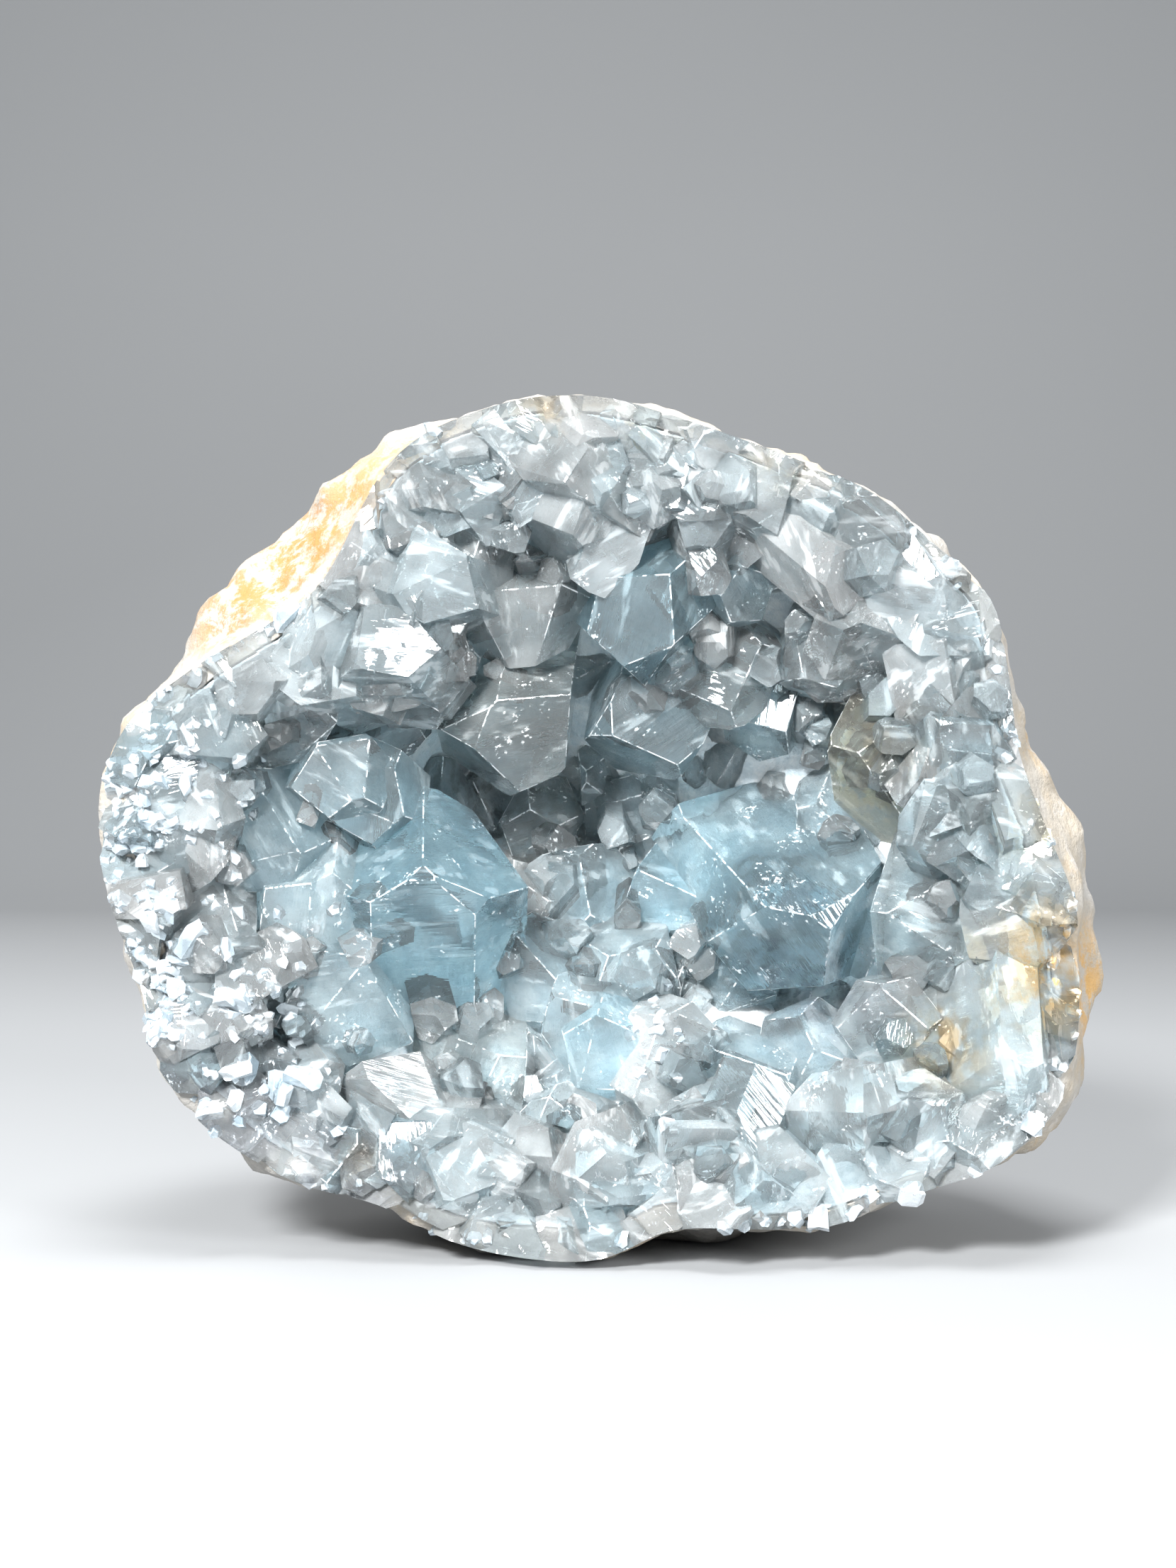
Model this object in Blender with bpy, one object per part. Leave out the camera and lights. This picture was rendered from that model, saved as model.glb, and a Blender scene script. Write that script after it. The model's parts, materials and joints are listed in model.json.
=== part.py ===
"""Celestite geode: a rounded stone broken open, its hollow lined with pale blue crystals.

The mouth faces -Y, +X is to the right of it and +Z is up. The stone stands on a small
flat spot at z = 0, with the middle of its box on the Z axis.
"""

import math
import random

import bmesh
import bpy
from mathutils import Matrix, Vector, noise

MM = 0.001

# The stone as a whole, in metres
MOUTH_Y = -0.041
BACK_Y = 0.046
MIDDLE_Z = 0.0649
GAP = 0.0004

# The stone's box reaches further right than left of the outline's middle. This moves the
# finished stone so that the box is centred.
CENTRING_X = -0.001

# Radius of the broken edge about the middle, every 10 degrees from +X towards +Z, in mm
EDGE_RADII = (
    70.3, 66.6, 67.0, 68.5, 66.0, 64.9, 62.8, 61.9, 62.6,
    64.4, 65.0, 64.6, 64.7, 63.9, 63.3, 64.6, 67.9, 73.0,
    75.1, 74.0, 73.1, 76.0, 73.9, 70.5, 66.1, 66.2, 65.6,
    64.6, 61.1, 63.6, 68.5, 71.8, 78.5, 82.0, 79.3, 76.0,
)

# The skin rolls outward behind the edge by this share of the radius, and by more where
# a band of it shows
SKIN_SWELL = 0.026
BAND_SWELL = 0.020
# How far behind the edge the stone is widest, as a share of its depth
WIDEST = 0.18
# The skin starts this far behind the crystals' edge of the broken wall
WALL_SLOPE = 0.002
# Powers that shape a bowl from its mouth to its back: low ones give a cone, high ones a tub
SKIN_BOWL = (2.5, 0.52)
HOLLOW_BOWL = (2.4, 0.50)
LAYER_BOWL = (1.25, 0.80)
LUMP_HEIGHT = 0.0018
LUMP_SIZE = 0.017
KNOB_HEIGHT = 0.0008
KNOB_SIZE = 0.007
WALL_LUMP = 0.0012
# Lumps grow from the broken edge to their full height over this share of the depth
LUMP_FADE = 0.12

# The belly that is worn flat to the spot that the stone rests on
BELLY_DROP = 0.0135
BELLY_X = 0.008
BELLY_Y = 0.003
BELLY_REACH_X = 0.050
BELLY_REACH_Y = 0.042

# The hollow in the stone, and the layer that the crystals grow from
HOLLOW_BACK_Y = 0.028
HOLLOW_SWELL = 0.012
LAYER_BACK_Y = 0.002
LAYER_EDGE = 0.0008
LAYER_ROOT = 0.008

# The deep pockets between the crystals: place (x, z), depth and reach
POCKETS = (
    (-0.016, 0.071, 0.016, 0.020),
    (0.033, 0.042, 0.013, 0.018),
)

# Points closer than this are one point
WELD = 1e-5

SEGMENTS = 60
SKIN_RINGS = 13
HOLLOW_RINGS = 5
LAYER_RINGS = 6

# Angles in degrees between a face's normal and the crystal's long axis, or its broad axis
PRISM_ANGLE = 37.9
CHISEL_ANGLE = 38.0
HIP_ANGLE = 50.6

# The viewpoint that crystal places are given from: this far in front of the mouth,
# level with this point of it
SIGHT_DISTANCE = 0.337
SIGHT_X = -0.0015
SIGHT_Z = 0.071

# Main crystals: place of the tip in the mouth (x, z) and its depth behind it, the way the
# tip points (x, z, out of the mouth), width, thickness and roll, in mm and degrees.
MAIN_CRYSTALS = (
    # Round the deep pockets
    (34, 45, 12, 0.25, -0.62, 0.74, 22, 19, 10),
    (-15, 73, 14, -0.10, -0.74, 0.67, 15, 13, 30),
    (-26, 65, 9, 0.04, 0.78, 0.62, 19, 16, 0),
    (1, 91, 10, -0.52, -0.50, 0.69, 14, 11, 35),
    (7, 76, 17, -0.10, -0.60, 0.79, 15, 12, 60),
    (19, 84, 11, 0.05, -0.55, 0.83, 12, 10, 20),
    (33, 86, 10, -0.10, -0.60, 0.79, 10, 9, 70),
    (40, 90, 8, -0.20, -0.55, 0.81, 8, 7, 15),
    (23, 80, 17, -0.35, -0.40, 0.85, 12, 8, 75),
    (-11, 55, 27, 0.20, 0.30, 0.93, 9, 8, 45),
    (-2, 56, 29, 0.05, 0.20, 0.98, 13, 10, 10),
    (13, 55, 24, -0.10, 0.30, 0.95, 17, 13, 65),
    (5, 46, 20, 0.00, 0.45, 0.89, 14, 10, 100),
    (-9, 45, 20, 0.05, 0.35, 0.93, 13, 11, 40),
    (-1, 38, 14, 0.00, 0.40, 0.92, 12, 10, 75),
    (20, 45, 24, -0.05, 0.35, 0.93, 12, 10, 20),
    (30, 40, 40, 0.00, 0.10, 0.99, 14, 10, 85),
    (-17, 68, 43, 0.05, 0.00, 1.00, 9, 7, 25),
    (-8, 66, 36, 0.10, 0.10, 0.99, 10, 9, 60),
    # Upper right
    (48, 90, 4, -0.45, -0.35, 0.82, 14, 15, 20),
    (46, 103, 3, -0.45, -0.45, 0.77, 13, 10, 60),
    (28, 104, 5, -0.25, -0.55, 0.80, 13, 11, 5),
    (31, 112, 2, -0.45, -0.35, 0.82, 12, 10, 40),
    (13, 114, 4, -0.10, -0.60, 0.79, 11, 9, 70),
    (19, 97, 9, -0.15, -0.55, 0.82, 9, 8, 15),
    (41, 75, 7, -0.50, -0.10, 0.86, 19, 12, 75),
    (57, 67, 4, -0.50, 0.00, 0.87, 12, 12, 40),
    # Upper left
    (4, 114, 1, 0.00, -0.50, 0.87, 14, 11, 20),
    (-10, 121, 1, 0.05, -0.45, 0.89, 10, 9, 50),
    (-11, 108, 6, 0.05, -0.65, 0.76, 9, 8, 10),
    (-18, 101, 6, 0.15, -0.60, 0.79, 9, 10, 35),
    (-24, 94, 6, 0.25, -0.50, 0.83, 10, 8, 80),
    (-12, 92, 8, 0.00, -0.65, 0.76, 14, 9, 5),
    (-25, 84, 7, 0.30, -0.35, 0.89, 10, 8, 60),
    (-34, 94, 4, 0.40, -0.35, 0.85, 10, 8, 25),
    (-27, 107, 3, 0.30, -0.45, 0.84, 9, 8, 65),
    # Left
    (-30, 69, 9, 0.45, 0.00, 0.89, 11, 15, 20),
    (-48, 64, 4, 0.40, 0.00, 0.92, 14, 13, 50),
    (-45, 82, 2, 0.35, -0.20, 0.91, 14, 10, 75),
    (-37, 53, 7, 0.40, 0.15, 0.90, 17, 18, 35),
    (-33, 40, 8, 0.52, 0.20, 0.83, 15, 14, 15),
    (-38, 24, 5, 0.30, 0.45, 0.84, 17, 14, 70),
    (-36, 72, 4, 0.35, 0.00, 0.94, 10, 9, 10),
    (-57, 52, 2, 0.35, 0.10, 0.93, 11, 10, 30),
    # Bottom
    (-19, 31, 13, 0.10, 0.40, 0.91, 20, 13, 85),
    (-21, 19, 5, 0.05, 0.50, 0.86, 10, 9, 20),
    (-21, 12, 2, 0.00, 0.45, 0.89, 12, 10, 60),
    (-4, 20, 5, 0.00, 0.45, 0.89, 12, 11, 35),
    (2, 35, 9, -0.05, 0.50, 0.86, 11, 11, 50),
    (11, 32, 6, 0.00, 0.45, 0.89, 13, 17, 10),
    (22, 29, 7, -0.05, 0.50, 0.86, 12, 10, 75),
    (31, 34, 11, -0.10, 0.45, 0.89, 11, 10, 25),
    (-10, 12, 2, 0.00, 0.35, 0.94, 10, 8, 15),
    (11, 15, 2, 0.00, 0.40, 0.92, 12, 9, 55),
    (23, 15, 2, -0.05, 0.40, 0.92, 11, 10, 80),
    (35, 17, 1, -0.10, 0.40, 0.91, 13, 11, 30),
    # Right and lower right
    (50, 51, 4, -0.40, 0.05, 0.92, 24, 15, 85),
    (42, 39, 4, -0.25, 0.55, 0.80, 10, 11, 5),
    (53, 32, 1, -0.35, 0.30, 0.89, 20, 17, 40),
    (57, 9, -2, 0.10, -0.72, 0.69, 15, 13, 0),
)

# The widths above are of the faces that show; the crystals are this much wider in full
MAIN_SCALE = 1.18

# Small crystals that fill between the main ones
FILL_ROWS = 5
FILL_COUNT = 30
FILL_SEED = 13
FILL_SIZE = (0.0085, 0.0130)
FILL_SPREAD = 0.40
EDGE_FILL_SCALE = 0.85


def clear_scene():
    """Take every object out of the scene."""
    for old in list(bpy.data.objects):
        bpy.data.objects.remove(old, do_unlink=True)


def hump(value, middle, reach):
    """1 at the middle, falling smoothly to 0 at the reach on both sides."""
    share = min(abs(value - middle) / reach, 1.0)
    return math.cos(share * math.pi / 2) ** 2


def turn_hump(angle, middle, reach):
    """A hump on a circle, in degrees."""
    apart = (angle - middle + 180.0) % 360.0 - 180.0
    return hump(apart, 0.0, reach)


def edge_radius(angle):
    """The outline of the broken edge at an angle in degrees, as a smooth closed curve."""
    step = 360.0 / len(EDGE_RADII)
    place = (angle % 360.0) / step
    first = int(place)
    share = place - first
    before, start, end, after = (
        EDGE_RADII[(first + shift) % len(EDGE_RADII)] for shift in (-1, 0, 1, 2)
    )
    bend = 2 * before - 5 * start + 4 * end - after
    twist = 3 * (start - end) + after - before
    radius = start + 0.5 * share * (end - before + share * (bend + share * twist))
    return radius * MM


def skin_band(angle):
    """Width of skin that shows outside the broken edge, seen into the mouth."""
    upper_left = 0.0080 * turn_hump(angle, 140.0, 30.0)
    right = 0.0030 * turn_hump(angle, 352.0, 45.0)
    return upper_left + right


def wall_width(angle):
    """Width of the broken wall between the skin and the crystals."""
    left = 0.0030 * turn_hump(angle, 192.0, 55.0)
    bottom = 0.0020 * turn_hump(angle, 265.0, 40.0)
    right = 0.0020 * turn_hump(angle, 350.0, 50.0)
    return 0.0028 + left + bottom + right


def mouth_y(angle):
    """The broken edge wanders in depth."""
    turn = math.radians(angle)
    wave = 0.0022 * math.sin(2 * turn + 0.6) + 0.0015 * math.sin(3 * turn + 2.0)
    return MOUTH_Y + 0.001 + wave + 0.0012 * math.sin(turn)


def bowl(share, powers):
    """Radius of a bowl as a share of its mouth, from the mouth (0) to the back (1)."""
    fall, curve = powers
    return max(1.0 - share**fall, 0.0) ** curve


def around(angle, radius, depth_y):
    """The point at an angle and radius about the stone's middle."""
    turn = math.radians(angle)
    return Vector((radius * math.cos(turn), depth_y, MIDDLE_Z + radius * math.sin(turn)))


def skin_point(angle, share):
    """A point of the skin, from the broken edge (share 0) to the back (share 1)."""
    edge = edge_radius(angle)
    band = skin_band(angle)
    rise = math.sin(min(share / WIDEST, 1.0) * math.pi / 2)
    swell = band + edge * (SKIN_SWELL + BAND_SWELL * min(band / 0.002, 1.0))
    start_y = mouth_y(angle) + WALL_SLOPE
    radius = (edge - band + swell * rise) * bowl(share, SKIN_BOWL)
    point = around(angle, radius, start_y + (BACK_Y - start_y) * share)
    outward = (point - Vector((0, 0, MIDDLE_Z))).normalized()
    fade = min(share / LUMP_FADE, 1.0)
    lumps = LUMP_HEIGHT * noise.noise(point / LUMP_SIZE)
    knobs = KNOB_HEIGHT * noise.noise(point / KNOB_SIZE)
    point += outward * 2.0 * (lumps + knobs) * (0.1 + 0.9 * fade)
    below = hump(point.x, BELLY_X, BELLY_REACH_X) * hump(point.y, BELLY_Y, BELLY_REACH_Y)
    under = max(-outward.z, 0.0)
    point.z -= BELLY_DROP * below * under
    return point


def hollow_point(angle, share, inset, back_y):
    """A point of the hollow's wall, or of a bowl that lies inset from it."""
    radius = edge_radius(angle) - skin_band(angle) - wall_width(angle) - inset
    rise = HOLLOW_SWELL * math.sin(min(share / WIDEST, 1.0) * math.pi / 2)
    depth_y = mouth_y(angle) + (back_y - mouth_y(angle)) * share
    return around(angle, radius * (1.0 + rise) * bowl(share, HOLLOW_BOWL), depth_y)


def layer_radius(angle, share):
    """Radius of the layer's face, a wide shallow bowl inside the hollow."""
    radius = edge_radius(angle) - skin_band(angle) - wall_width(angle) - LAYER_EDGE
    return radius * bowl(share, LAYER_BOWL)


def layer_point(angle, share):
    """A point of the layer that the crystals grow from, sunk at the pockets."""
    depth_y = mouth_y(angle) + (LAYER_BACK_Y - mouth_y(angle)) * share
    point = around(angle, layer_radius(angle, share), depth_y)
    return point + Vector((0, pocket_depth(point), 0))


def pocket_depth(point):
    """How far the pockets sink the layer at a point."""
    sunk = 0.0
    for x, z, depth, reach in POCKETS:
        sunk += depth * hump(math.hypot(point.x - x, point.z - z), 0.0, reach)
    return sunk


def in_layer(point):
    """Whether a point has passed through the layer's face."""
    angle = math.degrees(math.atan2(point.z - MIDDLE_Z, point.x))
    face_y = point.y - pocket_depth(point)
    share = (face_y - mouth_y(angle)) / (LAYER_BACK_Y - mouth_y(angle))
    if share <= 0.0:
        return False
    return math.hypot(point.x, point.z - MIDDLE_Z) > layer_radius(angle, min(share, 1.0))


def ring_angles():
    """The angles of the points round the stone."""
    return [360.0 * number / SEGMENTS for number in range(SEGMENTS)]


def ring_shares(count):
    """Shares of depth that space the rings evenly along a dome."""
    return [math.sin(math.pi / 2 * number / count) for number in range(count)]


def lofted(name, rings, start_pole, end_pole):
    """A closed solid through rings of points, closed by a point at each end."""
    mesh = bmesh.new()
    first = mesh.verts.new(start_pole)
    loops = [[mesh.verts.new(point) for point in ring] for ring in rings]
    last = mesh.verts.new(end_pole)
    count = len(loops[0])
    for number in range(count):
        after = (number + 1) % count
        mesh.faces.new((first, loops[0][after], loops[0][number]))
        mesh.faces.new((last, loops[-1][number], loops[-1][after]))
    for near, far in zip(loops, loops[1:]):
        for number in range(count):
            after = (number + 1) % count
            mesh.faces.new((near[number], near[after], far[after], far[number]))
    bmesh.ops.recalc_face_normals(mesh, faces=mesh.faces)
    if mesh.calc_volume(signed=True) < 0:
        bmesh.ops.reverse_faces(mesh, faces=mesh.faces)
    return as_object(name, mesh)


def as_object(name, mesh):
    """Put a bmesh into the scene as an object."""
    data = bpy.data.meshes.new(name)
    mesh.to_mesh(data)
    mesh.free()
    made = bpy.data.objects.new(name, data)
    bpy.context.scene.collection.objects.link(made)
    return made


def as_cutter(made):
    """Mark an object as a helper that isn't part of the stone."""
    made.hide_render = True
    made.display_type = "WIRE"
    return made


def material(name, colour, roughness):
    """A plain Principled material."""
    made = bpy.data.materials.new(name)
    made.use_nodes = True
    shader = made.node_tree.nodes["Principled BSDF"]
    shader.inputs["Base Color"].default_value = (*colour, 1.0)
    shader.inputs["Roughness"].default_value = roughness
    shader.inputs["Metallic"].default_value = 0.0
    made.diffuse_color = (*colour, 1.0)
    return made


def make_rock_shell():
    """The stone: skin, broken wall and hollow in one solid, with its flat spot."""
    angles = ring_angles()
    skin = [
        [skin_point(angle, share) for angle in angles] for share in ring_shares(SKIN_RINGS)
    ]
    wall = [
        skin_ring.lerp(hollow_point(angle, 0.0, 0.0, HOLLOW_BACK_Y), 0.5)
        + Vector((0, WALL_LUMP * noise.noise(skin_ring / KNOB_SIZE), 0))
        for angle, skin_ring in zip(angles, skin[0])
    ]
    hollow = [
        [hollow_point(angle, share, 0.0, HOLLOW_BACK_Y) for angle in angles]
        for share in ring_shares(HOLLOW_RINGS)
    ]
    rings = skin[::-1] + [wall] + hollow
    back = Vector((0, BACK_Y, MIDDLE_Z))
    inside = Vector((0, HOLLOW_BACK_Y, MIDDLE_Z))
    stone = lofted("rock_shell", rings, back, inside)
    rub_flat(stone)
    stone.data.materials.append(material("pale_rock", (0.80, 0.76, 0.68), 0.85))
    return stone


def rub_flat(stone):
    """Cut the belly off at z = 0 and close the flat spot with one face."""
    mesh = bmesh.new()
    mesh.from_mesh(stone.data)
    parts = mesh.verts[:] + mesh.edges[:] + mesh.faces[:]
    cut = bmesh.ops.bisect_plane(
        mesh,
        geom=parts,
        dist=1e-7,
        plane_co=(0, 0, 0),
        plane_no=(0, 0, -1),
        clear_outer=True,
    )
    rim = [item for item in cut["geom_cut"] if isinstance(item, bmesh.types.BMEdge)]
    for edge in rim:
        for corner in edge.verts:
            corner.co.z = 0.0
    bmesh.ops.holes_fill(mesh, edges=rim)
    bmesh.ops.recalc_face_normals(mesh, faces=mesh.faces)
    mesh.to_mesh(stone.data)
    mesh.free()


def growth_frame(pointing, roll):
    """A rotation whose Z is the way a crystal points, turned about it by the roll."""
    return (
        pointing.to_track_quat("Z", "Y").to_matrix().to_4x4()
        @ Matrix.Rotation(math.radians(roll), 4, "Z")
    )


def crystal(tip, pointing, width, thickness, length, roll, hip):
    """A celestite crystal: six-sided prism, chisel end and two hip faces.

    The tip is at the origin of its own frame and the crystal runs down -Z. hip says how
    far up the hip faces would meet, as a share of the width.
    """
    mesh = bmesh.new()
    bmesh.ops.create_cube(mesh, size=1.0)
    for corner in mesh.verts:
        corner.co.x *= width * 2.0
        corner.co.y *= thickness
        corner.co.z = (corner.co.z - 0.5) * length
    across = math.radians(PRISM_ANGLE)
    chisel = math.radians(CHISEL_ANGLE)
    slope = math.radians(HIP_ANGLE)
    faces = [
        (Vector((side * math.cos(across), up * math.sin(across), 0)), width * 0.5)
        for side in (-1, 1)
        for up in (-1, 1)
    ]
    for side in (-1, 1):
        faces.append((Vector((side * math.sin(chisel), 0, math.cos(chisel))), 0.0))
        reach = hip * width * math.cos(slope)
        faces.append((Vector((0, side * math.sin(slope), math.cos(slope))), reach))
    for normal, reach in faces:
        cut_off(mesh, normal, reach)
    mesh.transform(Matrix.Translation(tip) @ growth_frame(pointing, roll))
    return mesh


def cut_off(mesh, normal, reach):
    """Take off what lies beyond a plane and close the cut."""
    cut = bmesh.ops.bisect_plane(
        mesh,
        geom=mesh.verts[:] + mesh.edges[:] + mesh.faces[:],
        dist=1e-7,
        plane_co=normal * reach,
        plane_no=normal,
        clear_outer=True,
    )
    rim = [item for item in cut["geom_cut"] if isinstance(item, bmesh.types.BMEdge)]
    if rim:
        bmesh.ops.contextual_create(mesh, geom=rim)


def seen_place(x, z, depth):
    """The point at a depth behind the mouth that shows at (x, z) in it."""
    spread = (SIGHT_DISTANCE + depth) / SIGHT_DISTANCE
    return Vector(
        (SIGHT_X + (x - SIGHT_X) * spread, MOUTH_Y + depth, SIGHT_Z + (z - SIGHT_Z) * spread)
    )


def rooted_length(tip, pointing):
    """Length from the tip back to where the crystal is rooted well inside the layer."""
    length = 0.004
    while length < 0.060 and not in_layer(tip - pointing * length):
        length += 0.001
    return length + LAYER_ROOT


def main_crystals():
    """The large crystals, each in its own place."""
    made = []
    for number, row in enumerate(MAIN_CRYSTALS):
        x, z, depth, right, up, out, width, thickness, roll = row
        tip = seen_place(x * MM, z * MM, depth * MM)
        pointing = Vector((right, -out, up)).normalized()
        length = rooted_length(tip, pointing)
        hip = 0.10 + 0.12 * (number % 3)
        breadth = MAIN_SCALE * width * MM
        depth_across = MAIN_SCALE * thickness * MM
        made.append(crystal(tip, pointing, breadth, depth_across, length, roll, hip))
    return made


def fill_crystals():
    """Small crystals over the whole layer, each pointing roughly away from it."""
    draw = random.Random(FILL_SEED)
    made = []
    for row in range(FILL_ROWS):
        share = 0.03 + 0.90 * row / (FILL_ROWS - 1)
        count = round(FILL_COUNT * max(1.0 - share, 0.1) ** 0.7)
        for number in range(count):
            angle = 360.0 * (number + 0.5 * (row % 2) + draw.uniform(-0.3, 0.3)) / count
            foot = layer_point(angle, min(share + draw.uniform(0.0, 0.05), 0.97))
            inward = Vector((0, MOUTH_Y - 0.01, MIDDLE_Z)) - foot
            lean = Vector([draw.uniform(-FILL_SPREAD, FILL_SPREAD) for _ in range(3)])
            pointing = (inward.normalized() + Vector((0, -0.5, 0)) + lean).normalized()
            width = draw.uniform(*FILL_SIZE) * (EDGE_FILL_SCALE if row == 0 else 1.0)
            tip = foot + pointing * width * draw.uniform(0.25, 0.65)
            roll = draw.uniform(0, 180)
            made.append(
                crystal(tip, pointing, width, width * 0.85, width * 2.2, roll, 0.22)
            )
    return made


def make_layer():
    """The layer that the crystals grow from, reaching past the hollow's wall all round."""
    angles = ring_angles()
    past = 0.003
    outside = [
        [hollow_point(angle, share, -past, HOLLOW_BACK_Y + past) for angle in angles]
        for share in ring_shares(HOLLOW_RINGS)
    ]
    inside = [
        [layer_point(angle, share) for angle in angles] for share in ring_shares(LAYER_RINGS)
    ]
    back = Vector((0, HOLLOW_BACK_Y + past, MIDDLE_Z))
    middle = Vector((0, LAYER_BACK_Y, MIDDLE_Z))
    front = middle + Vector((0, pocket_depth(middle), 0))
    return lofted("crystal_crust", outside[::-1] + inside, back, front)


def make_room():
    """The space that the crystals may fill: the hollow and what lies before its mouth."""
    angles = ring_angles()
    shares = ring_shares(HOLLOW_RINGS)
    before = 0.030
    hollow = [
        [hollow_point(angle, share, GAP, HOLLOW_BACK_Y - GAP) for angle in angles]
        for share in shares
    ]
    ahead = Vector((0, -GAP - WALL_LUMP, 0))
    lip = [point + ahead for point in hollow[0]]
    edge = [skin_point(angle, 0.0) + ahead - Vector((0, WALL_SLOPE, 0)) for angle in angles]
    front = [point + Vector((0, -before, 0)) for point in edge]
    back = Vector((0, HOLLOW_BACK_Y - GAP, MIDDLE_Z))
    cap = Vector((0, MOUTH_Y - before, MIDDLE_Z))
    return as_cutter(lofted("room", hollow[::-1] + [lip, edge, front], back, cap))


def boolean(target, kind, operand=None, group=None):
    """Join or trim a solid with another solid, or with a collection of solids."""
    step = target.modifiers.new(kind.lower(), "BOOLEAN")
    step.operation = kind
    step.solver = "EXACT"
    if group:
        step.operand_type = "COLLECTION"
        step.collection = group
    else:
        step.object = operand


def separate_bodies(mesh):
    """The faces of each body. Bodies that only touch along an edge are separate."""
    waiting = set(mesh.faces)
    bodies = []
    while waiting:
        stack = [waiting.pop()]
        body = []
        while stack:
            face = stack.pop()
            body.append(face)
            joined = [edge for edge in face.edges if len(edge.link_faces) == 2]
            for beside in (beside for edge in joined for beside in edge.link_faces):
                if beside in waiting:
                    waiting.remove(beside)
                    stack.append(beside)
        bodies.append(body)
    return bodies


def keep_main_body(target):
    """Apply the modifiers, and keep the largest body: no loose chip, no sealed bubble."""
    bpy.context.view_layer.update()
    graph = bpy.context.evaluated_depsgraph_get()
    result = bpy.data.meshes.new_from_object(target.evaluated_get(graph))
    mesh = bmesh.new()
    mesh.from_mesh(result)
    bmesh.ops.remove_doubles(mesh, verts=mesh.verts, dist=WELD)
    bmesh.ops.dissolve_degenerate(mesh, edges=mesh.edges, dist=WELD)
    bodies = separate_bodies(mesh)
    largest = max(bodies, key=lambda body: sum(face.calc_area() for face in body))
    spare = [face for body in bodies if body is not largest for face in body]
    bmesh.ops.delete(mesh, geom=spare, context="FACES")
    target.modifiers.clear()
    mesh.to_mesh(target.data)
    mesh.free()


def make_crystal_crust():
    """All the crystals and the layer they grow from, joined in one solid."""
    crust = make_layer()
    group = bpy.data.collections.new("crystals")
    bpy.context.scene.collection.children.link(group)
    for number, mesh in enumerate(main_crystals() + fill_crystals()):
        made = as_cutter(as_object(f"crystal_{number:03d}", mesh))
        bpy.context.scene.collection.objects.unlink(made)
        group.objects.link(made)
    boolean(crust, "UNION", group=group)
    boolean(crust, "INTERSECT", operand=make_room())
    keep_main_body(crust)
    crust.data.materials.clear()
    crust.data.materials.append(material("celestite", (0.42, 0.56, 0.66), 0.15))
    for helper in list(group.objects) + [bpy.data.objects["room"]]:
        bpy.data.objects.remove(helper, do_unlink=True)
    bpy.data.collections.remove(group)
    return crust


def centre(made):
    """Move a finished solid so that the whole stone is centred on the Z axis."""
    made.data.transform(Matrix.Translation((CENTRING_X, 0, 0)))


clear_scene()
for finished in (make_rock_shell(), make_crystal_crust()):
    centre(finished)
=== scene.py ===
"""The looks of the celestite geode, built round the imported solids.

Lengths are metres unless a name or a comment says mm. The mouth faces -Y.
"""

import json
import math
import random
from itertools import combinations

import bmesh
import bpy
import numpy as np
from mathutils import Matrix, Vector, noise
from mathutils.bvhtree import BVHTree

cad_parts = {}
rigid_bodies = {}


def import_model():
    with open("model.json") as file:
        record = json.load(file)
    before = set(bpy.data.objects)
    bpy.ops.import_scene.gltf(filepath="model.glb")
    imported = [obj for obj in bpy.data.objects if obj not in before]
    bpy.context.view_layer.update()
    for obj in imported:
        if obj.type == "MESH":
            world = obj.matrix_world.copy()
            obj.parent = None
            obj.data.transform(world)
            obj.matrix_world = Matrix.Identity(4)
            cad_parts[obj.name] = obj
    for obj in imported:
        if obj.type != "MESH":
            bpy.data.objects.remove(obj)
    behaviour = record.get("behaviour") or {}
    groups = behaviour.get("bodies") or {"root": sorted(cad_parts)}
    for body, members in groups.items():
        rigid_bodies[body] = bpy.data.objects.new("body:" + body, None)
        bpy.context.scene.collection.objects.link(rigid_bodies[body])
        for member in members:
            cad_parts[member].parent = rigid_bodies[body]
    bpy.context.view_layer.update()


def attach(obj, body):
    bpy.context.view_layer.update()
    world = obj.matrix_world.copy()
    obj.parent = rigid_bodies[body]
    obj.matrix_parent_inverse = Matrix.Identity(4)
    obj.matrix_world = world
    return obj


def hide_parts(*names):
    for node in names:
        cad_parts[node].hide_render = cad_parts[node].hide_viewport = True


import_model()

MM = 0.001

# The stone as a whole, as in its solids
MOUTH_Y = -0.041
BACK_Y = 0.046
MIDDLE_Z = 0.0649
GAP = 0.0004
CENTRING_X = -0.001

# Radius of the broken edge about the middle, every 10 degrees from +X towards +Z, in mm
EDGE_RADII = (
    70.3, 66.6, 67.0, 68.5, 66.0, 64.9, 62.8, 61.9, 62.6,
    64.4, 65.0, 64.6, 64.7, 63.9, 63.3, 64.6, 67.9, 73.0,
    75.1, 74.0, 73.1, 76.0, 73.9, 70.5, 66.1, 66.2, 65.6,
    64.6, 61.1, 63.6, 68.5, 71.8, 78.5, 82.0, 79.3, 76.0,
)

# Skin that shows outside the broken edge, and broken wall inside it, by place round the
# stone: width, then the middle and the reach in degrees
SKIN_BANDS = ((0.0080, 140.0, 30.0), (0.0030, 352.0, 45.0))
WALL_BANDS = ((0.0030, 192.0, 55.0), (0.0020, 265.0, 40.0), (0.0020, 350.0, 50.0))
WALL_LEAST = 0.0028

# How the broken edge wanders in depth: heights of the waves that go round once, twice, thrice
EDGE_BACK = 0.001
EDGE_WAVES = (0.0012, 0.0022, 0.0015)

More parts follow.
